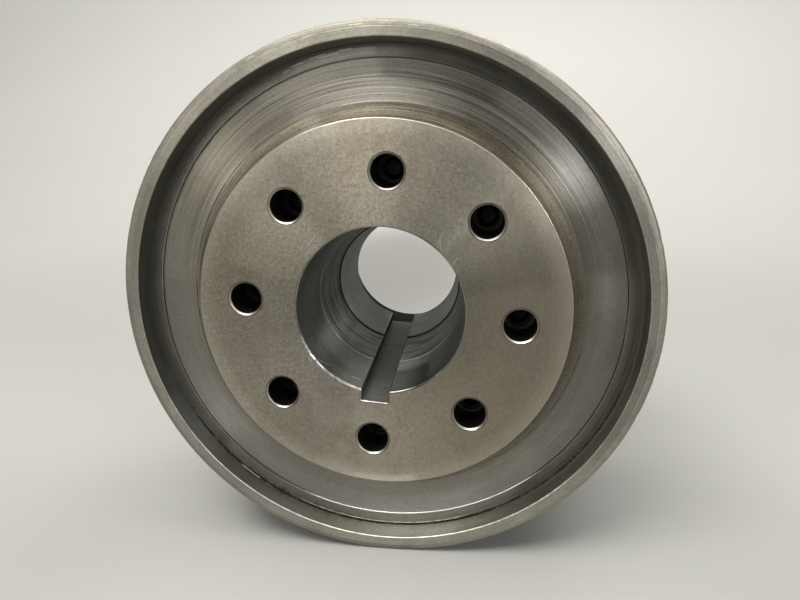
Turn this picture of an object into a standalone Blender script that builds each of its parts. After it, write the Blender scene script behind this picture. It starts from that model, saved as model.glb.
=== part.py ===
"""V belt pulley: a grooved rim clamped between a keyed front hub and a keyed rear hub.

Metres, +Z up. The pulley's axis is Y, the front face looks along -Y, and the
origin is the centre of the tapered bore in the plane of the front boss face.
"""
import math

import bmesh
import bpy
from mathutils import Matrix, Vector

MM = 0.001

# ---------------------------------------------------------------- dimensions
GAP = 0.3 * MM                    # clearance kept between touching pieces
SEGMENTS = 64                     # facets of the large turned pieces

# tapered bore and keyway
BORE_R = 36.0 * MM                # radius at the front face
TAPER = 0.1                       # radius lost per unit of depth (1:5 on diameter)
TAPER_END = 85.0 * MM             # depth where the taper stops
KEY_W = 12.0 * MM                 # keyway width, the same in both hubs
REAR_STEP = 0.5 * MM              # the rear hub is bored this much smaller
KEY_FLOOR_FRONT = 40.8 * MM       # keyway floor to the axis at the front face
KEY_FLOOR_REAR = 31.1 * MM        # and at the end of the taper
KEY_ANGLE = math.radians(95.47)   # from +X towards -Z: just past straight down

# front hub
BOSS_R = 79.1 * MM
FILLET_R = 6.1 * MM
FLOOR_Y = 12.36 * MM              # depth of the recess floor
DISC_R = 102.0 * MM
DISC_BACK = 20.4 * MM
CORE_R = 78.8 * MM
CORE_BACK = 32.0 * MM
SPIGOT_R = 48.0 * MM
SPIGOT_END = 55.4 * MM            # joint with the rear hub, seen in the bore

# bolt circle
PCD = 116.8 * MM
HOLES = 8
CBORE_R = 6.85 * MM
CBORE_DEPTH = 17.5 * MM
MOUTH_R = 7.5 * MM
TAP_R = 4.3 * MM
CLEAR_R = 4.5 * MM

# grooved rim
RIM_R = 115.5 * MM
LIP_Y = 2.1 * MM
LIP_IN_R = 108.9 * MM
LIP_FLAT_R = 112.6 * MM
LIP_EDGE_Y = 3.5 * MM
WALL_FOOT_R = 108.05 * MM
LEDGE_Y = 11.55 * MM
GROOVES = 4
GROOVE_FIRST = 28.0 * MM          # centre of the first groove
GROOVE_PITCH = 19.0 * MM
GROOVE_PITCH_W = 14.0 * MM        # width at the pitch line
GROOVE_ABOVE = 3.5 * MM           # pitch line below the outside diameter
GROOVE_BELOW = 14.0 * MM          # groove bottom below the pitch line
GROOVE_HALF_ANGLE = math.radians(19.0)
RIM_BACK = 97.5 * MM
RIM_CHAMFER = 1.2 * MM
CAVITY_R = 88.0 * MM
CAVITY_FILLET = 4.0 * MM
WEB_BACK = 46.0 * MM

# rear hub
FLANGE_R = 79.0 * MM
FLANGE_BACK = 62.0 * MM
SLEEVE_R = 46.0 * MM
SLEEVE_FILLET = 3.0 * MM
HUB_BACK = 105.0 * MM
HUB_CHAMFER = 1.5 * MM
NUT_BORE_R = 32.1 * MM            # counterbore behind the small end of the taper

# fasteners
SCREW_R = 4.0 * MM
SCREW_L = 45.0 * MM
SCREW_CHAMFER = 1.0 * MM
HEAD_R = 6.5 * MM
HEAD_H = 8.0 * MM
HEAD_CHAMFER = 0.6 * MM
SOCKET_AF = 6.0 * MM
SOCKET_DEPTH = 4.0 * MM
WASHER_R = 8.0 * MM
WASHER_IN_R = 4.3 * MM
WASHER_T = 1.6 * MM
DOWEL_R = 4.0 * MM
DOWEL_HOLE_R = 4.3 * MM
DOWEL_L = 36.0 * MM
DOWEL_HOLE_Y = 25.4 * MM          # bottom of the blind dowel hole
DOWEL_CHAMFER = 0.7 * MM

PHASE = KEY_ANGLE - math.pi       # first hole: opposite the keyway, near the top
HOLE_ANGLES = [PHASE + i * 2 * math.pi / HOLES for i in range(HOLES)]
DOWEL_ANGLES = [HOLE_ANGLES[1] + math.pi / HOLES, HOLE_ANGLES[5] + math.pi / HOLES]


# ------------------------------------------------------------------ scene
for old in list(bpy.data.objects):
    bpy.data.objects.remove(old, do_unlink=True)

PARTS = bpy.data.collections.new("v_belt_pulley")
CUTTERS = bpy.data.collections.new("cutters")
for coll in (PARTS, CUTTERS):
    bpy.context.scene.collection.children.link(coll)

# The pieces are turned about their own Z. This empty lays that axis along
# world Y, front face towards -Y.
AXIS = bpy.data.objects.new("pulley_axis", None)
AXIS.rotation_euler = (-math.pi / 2, 0.0, 0.0)
PARTS.objects.link(AXIS)


def material(name, colour, roughness, metallic):
    mat = bpy.data.materials.new(name)
    mat.use_nodes = True
    shader = mat.node_tree.nodes["Principled BSDF"]
    shader.inputs["Base Color"].default_value = (*colour, 1.0)
    shader.inputs["Roughness"].default_value = roughness
    shader.inputs["Metallic"].default_value = metallic
    return mat


HUB_STEEL = material("hub_steel", (0.24, 0.22, 0.19), 0.42, 1.0)
RIM_IRON = material("rim_iron", (0.27, 0.26, 0.24), 0.45, 1.0)
REAR_STEEL = material("rear_hub_steel", (0.33, 0.33, 0.33), 0.38, 1.0)
SCREW_STEEL = material("screw_black_steel", (0.04, 0.04, 0.045), 0.45, 0.9)
WASHER_STEEL = material("washer_steel", (0.38, 0.38, 0.37), 0.35, 1.0)
DOWEL_STEEL = material("dowel_steel", (0.45, 0.45, 0.44), 0.25, 1.0)


# ------------------------------------------------------------------ helpers
def finish(obj, mat=None):
    """Give a piece its finish and smooth shading on its round faces."""
    obj.data.shade_smooth()
    obj.data.set_sharp_from_angle(angle=math.radians(30))
    if mat is not None:
        obj.data.materials.clear()
        obj.data.materials.append(mat)
    return obj


def baked(obj):
    """Replace an object's mesh by its evaluated one and drop its modifiers."""
    graph = bpy.context.evaluated_depsgraph_get()
    mesh = bpy.data.meshes.new_from_object(obj.evaluated_get(graph))
    obj.modifiers.clear()
    obj.data = mesh
    mesh.name = obj.name
    return obj


def turned(name, profile, segments, coll=PARTS, closed=True):
    """A turned piece: a profile of (radius, depth) points swept round Z.

    The profile is walked down its outer side, so the faces point out.
    """
    area = sum(a[0] * b[1] - b[0] * a[1]
               for a, b in zip(profile, profile[1:] + profile[:1]))
    if area > 0:
        profile = profile[::-1]
    mesh = bpy.data.meshes.new(name)
    count = len(profile)
    edges = [(i, i + 1) for i in range(count - 1)]
    if closed:
        edges.append((count - 1, 0))
    mesh.from_pydata([(r, 0.0, z) for r, z in profile], edges, [])
    obj = bpy.data.objects.new(name, mesh)
    coll.objects.link(obj)
    screw = obj.modifiers.new("turn", "SCREW")
    screw.axis = "Z"
    screw.angle = 2 * math.pi
    screw.steps = screw.render_steps = segments
    screw.use_merge_vertices = True
    screw.merge_threshold = 0.00001
    screw.use_smooth_shade = True
    return baked(obj)


def as_cutter(obj):
    obj.hide_render = True
    obj.display_type = "WIRE"
    obj.parent = AXIS
    return obj


def round_cutters(name, stations, sections):
    """Round cutters on the bolt circle, one mesh for all of them.

    sections gives (radius at low end, radius at high end, low, high).
    """
    low_r, high_r, low, high, segments = sections
    bm = bmesh.new()
    for angle in stations:
        place = Matrix.Rotation(angle, 4, "Z") @ Matrix.Translation(
            (PCD / 2, 0.0, (low + high) / 2))
        bmesh.ops.create_cone(bm, cap_ends=True, segments=segments,
                              radius1=low_r, radius2=high_r,
                              depth=high - low, matrix=place)
    mesh = bpy.data.meshes.new(name)
    bm.to_mesh(mesh)
    bm.free()
    obj = bpy.data.objects.new(name, mesh)
    CUTTERS.objects.link(obj)
    return as_cutter(obj)


def key_floor(depth):
    """Distance of the keyway floor from the axis at a depth."""
    return KEY_FLOOR_FRONT + (KEY_FLOOR_REAR - KEY_FLOOR_FRONT) * depth / TAPER_END


def keyway_cutter(name, low, high, side_minus, side_plus):
    """A bar along the bore whose outer face follows the keyway floor."""
    bm = bmesh.new()
    bmesh.ops.create_cube(bm, size=1.0)
    for v in bm.verts:
        z = low if v.co.z < 0 else high
        r = 15.0 * MM if v.co.x < 0 else key_floor(z)
        t = side_minus if v.co.y < 0 else side_plus
        v.co = Vector((r, t, z))
    mesh = bpy.data.meshes.new(name)
    bm.to_mesh(mesh)
    bm.free()
    obj = bpy.data.objects.new(name, mesh)
    obj.rotation_euler = (0.0, 0.0, KEY_ANGLE)
    CUTTERS.objects.link(obj)
    return as_cutter(obj)


def cut(obj, *cutters):
    for cutter in cutters:
        mod = obj.modifiers.new(cutter.name, "BOOLEAN")
        mod.operation = "DIFFERENCE"
        mod.solver = "EXACT"
        mod.object = cutter
    return obj


def bore_r(depth):
    return BORE_R - TAPER * depth


def arc(cx, cz, radius, start, end, steps):
    """Points of a circular arc in the profile plane, ends included."""
    return [(cx + radius * math.cos(start + (end - start) * i / steps),
             cz + radius * math.sin(start + (end - start) * i / steps))
            for i in range(steps + 1)]


# ------------------------------------------------------------------ front hub
hub_profile = [(bore_r(0.0), 0.0), (BOSS_R, 0.0)]
hub_profile += arc(BOSS_R + FILLET_R, FLOOR_Y - FILLET_R, FILLET_R,
                   math.pi, math.pi / 2, 5)
hub_profile += [(DISC_R, FLOOR_Y), (DISC_R, DISC_BACK), (CORE_R, DISC_BACK),
                (CORE_R, CORE_BACK), (SPIGOT_R, CORE_BACK),
                (SPIGOT_R, SPIGOT_END), (bore_r(SPIGOT_END), SPIGOT_END)]
hub = finish(turned("hub_flange", hub_profile, SEGMENTS), HUB_STEEL)
hub.parent = AXIS

mouth_depth = MOUTH_R - CBORE_R
over = 1.0 * MM
cut(hub,
    round_cutters("counterbores", HOLE_ANGLES,
                  (CBORE_R, CBORE_R, -4 * MM, CBORE_DEPTH, 24)),
    round_cutters("hole_mouths", HOLE_ANGLES,
                  (MOUTH_R + over, CBORE_R - over, -over, mouth_depth + over, 24)),
    round_cutters("tapped_holes", HOLE_ANGLES,
                  (TAP_R, TAP_R, CBORE_DEPTH - 3 * MM, CORE_BACK + 3 * MM, 16)),
    round_cutters("blind_dowel_holes", DOWEL_ANGLES,
                  (DOWEL_HOLE_R, DOWEL_HOLE_R, DOWEL_HOLE_Y, CORE_BACK + 3 * MM, 16)),
    keyway_cutter("front_keyway", -5 * MM, SPIGOT_END + 5 * MM,
                  -KEY_W / 2, KEY_W / 2))

# ------------------------------------------------------------------ grooved rim
top_half = GROOVE_PITCH_W / 2 + GROOVE_ABOVE * math.tan(GROOVE_HALF_ANGLE)
bottom_half = GROOVE_PITCH_W / 2 - GROOVE_BELOW * math.tan(GROOVE_HALF_ANGLE)
bottom_r = RIM_R - GROOVE_ABOVE - GROOVE_BELOW

rim_profile = [(WALL_FOOT_R, LEDGE_Y), (LIP_IN_R, LIP_Y), (LIP_FLAT_R, LIP_Y),
               (RIM_R - 0.8 * MM, LIP_Y + 0.55 * MM), (RIM_R, LIP_EDGE_Y)]
for i in range(GROOVES):
    centre = GROOVE_FIRST + i * GROOVE_PITCH
    rim_profile += [(RIM_R, centre - top_half), (bottom_r, centre - bottom_half),
                    (bottom_r, centre + bottom_half), (RIM_R, centre + top_half)]
rim_profile += [(RIM_R, RIM_BACK - RIM_CHAMFER), (RIM_R - RIM_CHAMFER, RIM_BACK),
                (CAVITY_R + RIM_CHAMFER, RIM_BACK), (CAVITY_R, RIM_BACK - RIM_CHAMFER)]
rim_profile += arc(CAVITY_R - CAVITY_FILLET, WEB_BACK + CAVITY_FILLET, CAVITY_FILLET,
                   0.0, -math.pi / 2, 3)
rim_profile += [(SPIGOT_R + GAP, WEB_BACK), (SPIGOT_R + GAP, CORE_BACK + GAP),
                (CORE_R + GAP, CORE_BACK + GAP), (CORE_R + GAP, DISC_BACK + GAP),
                (DISC_R + GAP, DISC_BACK + GAP), (DISC_R + GAP, LEDGE_Y)]
rim = finish(turned("grooved_rim", rim_profile, SEGMENTS), RIM_IRON)
rim.parent = AXIS
cut(rim,
    round_cutters("web_screw_holes", HOLE_ANGLES,
                  (CLEAR_R, CLEAR_R, CORE_BACK - 3 * MM, WEB_BACK + 3 * MM, 16)),
    round_cutters("web_dowel_holes", DOWEL_ANGLES,
                  (DOWEL_HOLE_R, DOWEL_HOLE_R, CORE_BACK - 3 * MM, WEB_BACK + 3 * MM, 16)))

# ------------------------------------------------------------------ rear hub
rear_profile = [(bore_r(SPIGOT_END + GAP) - REAR_STEP, SPIGOT_END + GAP),
                (SPIGOT_R + GAP, SPIGOT_END + GAP), (SPIGOT_R + GAP, WEB_BACK + GAP),
                (FLANGE_R, WEB_BACK + GAP), (FLANGE_R, FLANGE_BACK - 1.0 * MM),
                (FLANGE_R - 1.0 * MM, FLANGE_BACK)]
rear_profile += arc(SLEEVE_R + SLEEVE_FILLET, FLANGE_BACK + SLEEVE_FILLET, SLEEVE_FILLET,
                    -math.pi / 2, -math.pi, 3)
rear_profile += [(SLEEVE_R, HUB_BACK - HUB_CHAMFER), (SLEEVE_R - HUB_CHAMFER, HUB_BACK),
                 (NUT_BORE_R, HUB_BACK), (NUT_BORE_R, TAPER_END),
                 (bore_r(TAPER_END) - REAR_STEP, TAPER_END)]
rear = finish(turned("rear_hub", rear_profile, SEGMENTS), REAR_STEEL)
rear.parent = AXIS
cut(rear,
    round_cutters("flange_screw_holes", HOLE_ANGLES,
                  (CLEAR_R, CLEAR_R, WEB_BACK - 3 * MM, FLANGE_BACK + 3 * MM, 16)),
    round_cutters("flange_dowel_holes", DOWEL_ANGLES,
                  (DOWEL_HOLE_R, DOWEL_HOLE_R, WEB_BACK - 3 * MM, FLANGE_BACK + 3 * MM, 16)),
    keyway_cutter("rear_keyway", SPIGOT_END - 5 * MM, TAPER_END + 2 * MM,
                  -KEY_W / 2, KEY_W / 2))

# ------------------------------------------------------------------ fasteners
washer_front = FLANGE_BACK + GAP
seat = washer_front + WASHER_T + GAP          # underside of the screw heads


def cap_screw_mesh():
    """Socket head screw: underside of the head at 0, shank towards -Z."""
    profile = [(0.0, HEAD_H), (HEAD_R - HEAD_CHAMFER, HEAD_H), (HEAD_R, HEAD_H - HEAD_CHAMFER),
               (HEAD_R, 0.0), (SCREW_R, 0.0), (SCREW_R, SCREW_CHAMFER - SCREW_L),
               (SCREW_R - SCREW_CHAMFER, -SCREW_L), (0.0, -SCREW_L)]
    obj = turned("cap_screw", profile, 18, coll=CUTTERS, closed=False)
    bm = bmesh.new()
    bmesh.ops.create_cone(bm, cap_ends=True, segments=6,
                          radius1=SOCKET_AF / 2 / math.cos(math.pi / 6),
                          radius2=SOCKET_AF / 2 / math.cos(math.pi / 6),
                          depth=SOCKET_DEPTH * 2,
                          matrix=Matrix.Translation((0.0, 0.0, HEAD_H)))
    mesh = bpy.data.meshes.new("hex_socket")
    bm.to_mesh(mesh)
    bm.free()
    socket = bpy.data.objects.new("hex_socket", mesh)
    CUTTERS.objects.link(socket)
    cut(obj, socket)
    baked(obj)
    finish(obj, SCREW_STEEL)
    mesh = obj.data
    bpy.data.objects.remove(obj, do_unlink=True)
    bpy.data.objects.remove(socket, do_unlink=True)
    return mesh


def turned_mesh(name, profile, segments, mat, closed=True):
    obj = finish(turned(name, profile, segments, coll=CUTTERS, closed=closed), mat)
    mesh = obj.data
    bpy.data.objects.remove(obj, do_unlink=True)
    return mesh


def on_circle(name, mesh, angle, depth, spin=0.0):
    """Place a piece on the bolt circle at an angle and a depth."""
    obj = bpy.data.objects.new(name, mesh)
    obj.location = (PCD / 2 * math.cos(angle), PCD / 2 * math.sin(angle), depth)
    obj.rotation_euler = (0.0, 0.0, angle + spin)
    obj.parent = AXIS
    PARTS.objects.link(obj)
    return obj


screw_mesh = cap_screw_mesh()
washer_mesh = turned_mesh(
    "washer", [(WASHER_IN_R, 0.0), (WASHER_R, 0.0), (WASHER_R, WASHER_T),
               (WASHER_IN_R, WASHER_T)], 18, WASHER_STEEL)
dowel_mesh = turned_mesh(
    "dowel_pin", [(0.0, DOWEL_L), (DOWEL_R - DOWEL_CHAMFER, DOWEL_L),
                  (DOWEL_R, DOWEL_L - DOWEL_CHAMFER), (DOWEL_R, DOWEL_CHAMFER),
                  (DOWEL_R - DOWEL_CHAMFER, 0.0), (0.0, 0.0)], 16, DOWEL_STEEL, closed=False)

for i, angle in enumerate(HOLE_ANGLES):
    # each screw stops at its own turn, so its socket points its own way
    on_circle("cap_screw_%d" % (i + 1), screw_mesh, angle, seat, spin=0.37 * (i + 1))
    on_circle("washer_%d" % (i + 1), washer_mesh, angle, washer_front)
for i, angle in enumerate(DOWEL_ANGLES):
    on_circle("dowel_pin_%d" % (i + 1), dowel_mesh, angle, DOWEL_HOLE_Y + GAP)

bpy.context.view_layer.update()
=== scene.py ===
"""Looks of the V belt pulley: fine turned meshes and machined metal finishes.

Metres, +Z up. The pulley's axis is Y, its front face looks along -Y, and the
origin is the centre of the bore in the plane of the front boss face.
"""
import math
import random

import bmesh
import bpy
import numpy as np
from mathutils import Matrix, Quaternion, Vector, geometry


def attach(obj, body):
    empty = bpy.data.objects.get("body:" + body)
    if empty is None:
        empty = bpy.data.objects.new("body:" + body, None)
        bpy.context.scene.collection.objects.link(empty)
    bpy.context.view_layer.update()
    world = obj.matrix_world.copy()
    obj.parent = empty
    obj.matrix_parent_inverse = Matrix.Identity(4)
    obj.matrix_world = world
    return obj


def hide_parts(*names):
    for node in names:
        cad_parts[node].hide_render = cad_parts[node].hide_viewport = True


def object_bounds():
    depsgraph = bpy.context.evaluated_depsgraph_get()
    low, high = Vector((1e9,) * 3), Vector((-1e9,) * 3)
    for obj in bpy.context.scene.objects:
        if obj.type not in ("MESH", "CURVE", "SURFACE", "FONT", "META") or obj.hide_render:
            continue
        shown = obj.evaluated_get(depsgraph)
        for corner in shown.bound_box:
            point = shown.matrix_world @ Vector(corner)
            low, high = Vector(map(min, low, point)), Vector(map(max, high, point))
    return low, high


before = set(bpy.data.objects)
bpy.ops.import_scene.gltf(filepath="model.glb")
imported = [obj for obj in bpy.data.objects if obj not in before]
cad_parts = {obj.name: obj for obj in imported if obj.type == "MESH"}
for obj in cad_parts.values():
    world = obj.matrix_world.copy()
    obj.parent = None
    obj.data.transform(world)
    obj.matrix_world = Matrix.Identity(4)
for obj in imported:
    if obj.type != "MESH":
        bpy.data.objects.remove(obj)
CAD_LOW, CAD_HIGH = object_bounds()

MM = 0.001
TAU = 2 * math.pi

# ------------------------------------------------------------------ dimensions
GAP = 0.3
BORE_R, TAPER, TAPER_END = 36.0, 0.1, 85.0
KEY_W, REAR_STEP = 12.0, 0.5
KEY_FLOOR_FRONT, KEY_FLOOR_REAR = 40.8, 31.1
KEY_ANGLE = math.radians(95.47)

BOSS_R, FILLET_R, FLOOR_Y = 79.1, 6.1, 12.36
DISC_R, DISC_BACK = 102.0, 20.4
DISC_EDGE_R, STEP_R = 102.14, 102.2
CORE_R, CORE_BACK = 78.8, 32.0
SPIGOT_R, SPIGOT_END = 48.0, 55.4

PCD_R, HOLES = 58.4, 8
CBORE_R, CBORE_DEPTH, MOUTH_R = 6.85, 17.5, 7.5
TAP_R, CLEAR_R = 4.3, 4.5

RIM_R, LIP_Y, LIP_IN_R, LIP_FLAT_R = 115.5, 2.1, 108.9, 112.7
WALL_FOOT_R, LEDGE_Y = 108.05, 11.55
GROOVES, GROOVE_FIRST, GROOVE_PITCH = 4, 28.0, 19.0
GROOVE_PITCH_W, GROOVE_ABOVE, GROOVE_BELOW = 14.0, 3.5, 14.0
GROOVE_TAN = math.tan(math.radians(19.0))
RIM_BACK, RIM_CHAMFER = 97.5, 1.2
CAVITY_R, CAVITY_FILLET, WEB_BACK = 88.0, 4.0, 46.0

FLANGE_R, FLANGE_BACK = 79.0, 62.0
SLEEVE_R, SLEEVE_FILLET = 46.0, 3.0
HUB_BACK, HUB_CHAMFER, NUT_BORE_R = 105.0, 1.5, 32.1

SCREW_R, SCREW_L, HEAD_R, HEAD_H = 4.0, 45.0, 6.5, 8.0
SOCKET_AF, SOCKET_DEPTH, PITCH = 6.0, 4.0, 1.25
WASHER_R, WASHER_IN_R, WASHER_T = 8.0, 4.3, 1.6
DOWEL_R, DOWEL_HOLE_R, DOWEL_L, DOWEL_HOLE_Y = 4.0, 4.3, 36.0, 25.4

HOLE_ANGLES = [KEY_ANGLE - math.pi + i * TAU / HOLES for i in range(HOLES)]
MARKS_TOP = math.radians(98.0)
DOWEL_ANGLES = [HOLE_ANGLES[1] + math.pi / HOLES, HOLE_ANGLES[5] + math.pi / HOLES]


def station(angle):
    """Centre (x, z) of a hole on the bolt circle, in millimetres."""
    return PCD_R * math.cos(angle), -PCD_R * math.sin(angle)


def bore_r(y):
    return BORE_R - TAPER * y


def key_floor(y):
    return KEY_FLOOR_FRONT + (KEY_FLOOR_REAR - KEY_FLOOR_FRONT) * y / TAPER_END


# ------------------------------------------------------------------ mesh making
def knocks(seed, count, wide, deep, span=(0.0, TAU)):
    """Small knocks along an edge: their depth in mm, for an array of angles."""
    rng = random.Random(seed)
    hits = [(rng.uniform(*span), math.radians(rng.uniform(*wide)),
             deep[0] + (deep[1] - deep[0]) * rng.random() ** 2.5) for _ in range(count)]

    def depth(a):
        out = np.zeros_like(a)
        for centre, half, d in hits:
            off = (a - centre + math.pi) % TAU - math.pi
            out = np.maximum(out, d * np.clip(1 - (off / half) ** 2, 0, 1))
        return out
    return depth


def swell(rng):
    """How deep one tool mark is round the axis: deepest at the top, rubbed down at the bottom."""
    terms = [(k, rng.uniform(0, TAU), rng.uniform(0.08, 0.26)) for k in (1, 2, 3, 5, 9)]

    def share(a):
        t = np.clip((np.cos(a + MARKS_TOP) + 0.25) / 0.85, 0, 1)
        top = 0.14 + 0.86 * t * t * (3 - 2 * t)
        return np.clip(1 + sum(s * np.sin(k * a + f) for k, f, s in terms), 0.15, None) * top
    return share


def tool_marks(rng, count, deep):
    """A row of rounded tool marks: (place from 0 to 1, depth for an array of angles)."""
    rows = []
    for i in range(count):
        d, share = deep * (0.3 + 1.5 * rng.random() ** 1.5), swell(rng)
        for place, low in ((0.0, -0.5), (0.25, 0.25), (0.5, 0.5), (0.75, 0.25)):
            rows.append(((i + place) / count, lambda a, d=d * low, share=share: d * share(a)))
    return rows


class Piece:
    """Rings and faces of one piece, in millimetres.

    A face has a look (its material) and a smoothing group. A vertex has two
    shares from 0 to 1: wear, on edges that are rubbed bright, and grime, in
    corners that hold dirt; the looks darken these corners with dirt and with
    painted shade.
    """

    def __init__(self, name):
        self.name, self.groups_made = name, 0
        self.co, self.wear, self.grime = [], [], []
        self.faces, self.looks, self.groups = [], [], []

    def group(self):
        self.groups_made += 1
        return self.groups_made

    def add(self, points, wear=0.0, grime=0.0):
        first = len(self.co)
        self.co.extend(tuple(p) for p in points)
        count = len(self.co) - first
        self.wear.extend([wear] * count)
        self.grime.extend([grime] * count)
        return list(range(first, len(self.co)))

    def ring(self, r, y, n, wear=0.0, grime=0.0, at=(0.0, 0.0), shift=(0.0, 0.0), depth=None):
        """A circle about an axis along Y. depth(angles) moves it along shift."""
        a = np.arange(n) * TAU / n
        d = depth(a) if depth else np.zeros(n)
        rr = (r(a) if callable(r) else r) + d * shift[0]
        yy = np.clip(y + d * shift[1], 0.0, HUB_BACK)
        if at == (0.0, 0.0):
            rr = np.minimum(rr, RIM_R)
        pts = np.stack([at[0] + rr * np.cos(a), yy + 0 * a, at[1] - rr * np.sin(a)], 1)
        return self.add(pts.tolist(), wear, grime)

    def face(self, ids, look, group):
        self.faces.append(ids)
        self.looks.append(look)
        self.groups.append(group)

    def strip(self, a, b, look, group):
        """Faces between two closed rings. look and group may be lists, one per column."""
        if len(a) < len(b):
            a, b = b, a
        n, m = len(a), len(b)
        if n == m:
            for k in range(n):
                q = (k + 1) % n
                self.face([a[k], a[q], b[q], b[k]],
                          look[k] if isinstance(look, list) else look,
                          group[k] if isinstance(group, list) else group)
            return
        share = n // m
        for j in range(m):
            near, far = b[j], b[(j + 1) % m]
            for k in range(share):
                p, q = a[j * share + k], a[(j * share + k + 1) % n]
                self.face([p, q, near if k < share / 2 else far], look, group)
                if k == (share - 1) // 2:
                    self.face([q, far, near], look, group)

    def cap(self, ring, tip, look, group):
        for k in range(len(ring)):
            self.face([ring[k], ring[(k + 1) % len(ring)], tip], look, group)

    def fill(self, outline, holes, look, group):
        """A flat face at one depth inside outline, less the holes."""
        loops = [outline] + holes
        ids = [i for loop in loops for i in loop]
        flat = [Vector((self.co[i][0], self.co[i][2])) for i in ids]
        edges, start = [], 0
        for loop in loops:
            edges += [(start + k, start + (k + 1) % len(loop)) for k in range(len(loop))]
            start += len(loop)
        made = geometry.delaunay_2d_cdt(flat, edges, [], 1, 1e-5)
        verts, tris, back = made[0], made[2], made[3]
        rims = [np.array([(self.co[i][0], self.co[i][2]) for i in loop]) for loop in holes]
        mids = np.array([[sum(verts[v][k] for v in t) / 3 for k in (0, 1)] for t in tris])
        shut = np.zeros(len(tris), bool)
        for rim in rims:
            inside = np.zeros(len(tris), bool)
            for p, q in zip(rim, np.roll(rim, -1, 0)):
                crossing = (p[1] > mids[:, 1]) != (q[1] > mids[:, 1])
                with np.errstate(divide="ignore", invalid="ignore"):
                    x = p[0] + (mids[:, 1] - p[1]) * (q[0] - p[0]) / (q[1] - p[1])
                inside ^= crossing & (mids[:, 0] < x)
            shut |= inside
        for t, out in zip(tris, shut):
            if not out:
                self.face([ids[back[v][0]] for v in t], look, group)

    def chain(self, corners, n, closed=False):
        """Turns a profile about the Y axis. Its first and last corners are plain ends.

        A corner is a dict: r, y, and any of rad (rounding), steps, wear, grime,
        fade (how far wear and grime reach along the runs), look and n (for the
        rounding and the run after it), arc_look (for the rounding alone), div and
        ripple (rings and their relief in the run after it), turn (pitch and depth
        of the tool marks in that run), arc_ripple, arc_turn (count and depth of
        the tool marks in the rounding) and knock.
        """
        rng = random.Random(len(self.co) + 17)
        pts = [np.array((c["r"], c["y"]), float) for c in corners]
        count = len(corners)
        spans = []                     # per corner: (points on its rounding, outward normals)
        for i, c in enumerate(corners):
            rad = c.get("rad", 0.0)
            inner = closed or 0 < i < count - 1
            if not inner or rad <= 0:
                spans.append(([pts[i]], [np.zeros(2)]))
                continue
            d0 = pts[i] - pts[i - 1]
            d1 = pts[(i + 1) % count] - pts[i]
            d0, d1 = d0 / np.linalg.norm(d0), d1 / np.linalg.norm(d1)
            turn = d0[0] * d1[1] - d0[1] * d1[0]
            angle = math.atan2(turn, float(d0 @ d1))
            back = rad * math.tan(abs(angle) / 2)
            start = pts[i] - d0 * back
            side = np.array((-d0[1], d0[0])) * (1 if turn > 0 else -1)
            centre = start + side * rad
            arm, steps = start - centre, c.get("steps", 3)
            made, outs = [], []
            if "arc_turn" in c:
                cuts = tool_marks(rng, *c["arc_turn"])
                steps = len(cuts)
                c["cuts"] = [None] + [cut for _, cut in cuts[1:]] + [None]
            for k in range(steps + 1):
                t = angle * k / steps
                q = np.array((arm[0] * math.cos(t) - arm[1] * math.sin(t),
                              arm[0] * math.sin(t) + arm[1] * math.cos(t)))
                out = q / rad
                ripple = c.get("arc_ripple", 0.0) if 0 < k < steps else 0.0
                made.append(centre + q + out * ripple * rng.uniform(-1, 1))
                outs.append(out)
            spans.append((made, outs))
        first = last = None
        order = list(range(count)) + ([0] if closed else [])
        for step, i in enumerate(order):
            c = corners[i]
            look, size = c.get("look", 0), c.get("n", n)
            wear, grime = c.get("wear", 0.0), c.get("grime", 0.0)
            if not (closed and step == count):
                group = self.group()
                made, outs = spans[i]
                for k, p in enumerate(made):
                    edge = 0.45 if k in (0, len(made) - 1) and len(made) > 1 else 1.0
                    if "cuts" in c:
                        ring = self.ring(p[0], p[1], size, wear, grime, shift=outs[k], depth=c["cuts"][k])
                    else:
                        ring = self.ring(p[0], p[1], size, wear, grime,
                                         shift=-outs[k] * edge, depth=c.get("knock"))
                    if last is not None:
                        if k == 0:
                            self.strip(last, ring, run_look, run_group)
                        else:
                            self.strip(last, ring, c.get("arc_look", look), group)
                    else:
                        first = ring
                    last = ring
            else:
                self.strip(last, first, run_look, run_group)
                break
            run_look, run_group = look, self.group()
            if i == count - 1 and not closed:
                break
            nxt = (i + 1) % count
            c2 = corners[nxt]
            a, b = spans[i][0][-1], spans[nxt][0][0]
            length = np.linalg.norm(b - a)
            along = (b - a) / length
            across = np.array((-along[1], along[0]))
            marks = []
            head = min(c.get("fade", 0.8), 0.4 * length) if wear or grime else 0.0
            tail = min(c2.get("fade", 0.8), 0.4 * length) if c2.get("wear") or c2.get("grime") else 0.0
            if head:
                marks.append((head, 0.0, None))
            clear = length - head - tail
            div = c.get("div", 0)
            for k in range(1, div):
                marks.append((head + clear * k / div, c.get("ripple", 0.0) * rng.uniform(-1, 1), None))
            if "turn" in c:
                pitch, deep = c["turn"]
                marks += [(head + clear * place, 0.0, cut)
                          for place, cut in tool_marks(rng, max(1, round(clear / pitch)), deep) if place > 0]
            if tail:
                marks.append((length - tail, 0.0, None))
            for t, off, cut in marks:
                p = a + along * t + across * off
                ring = self.ring(p[0], p[1], size, shift=across, depth=cut)
                self.strip(last, ring, run_look, run_group)
                last = ring
        return first, last

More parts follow.
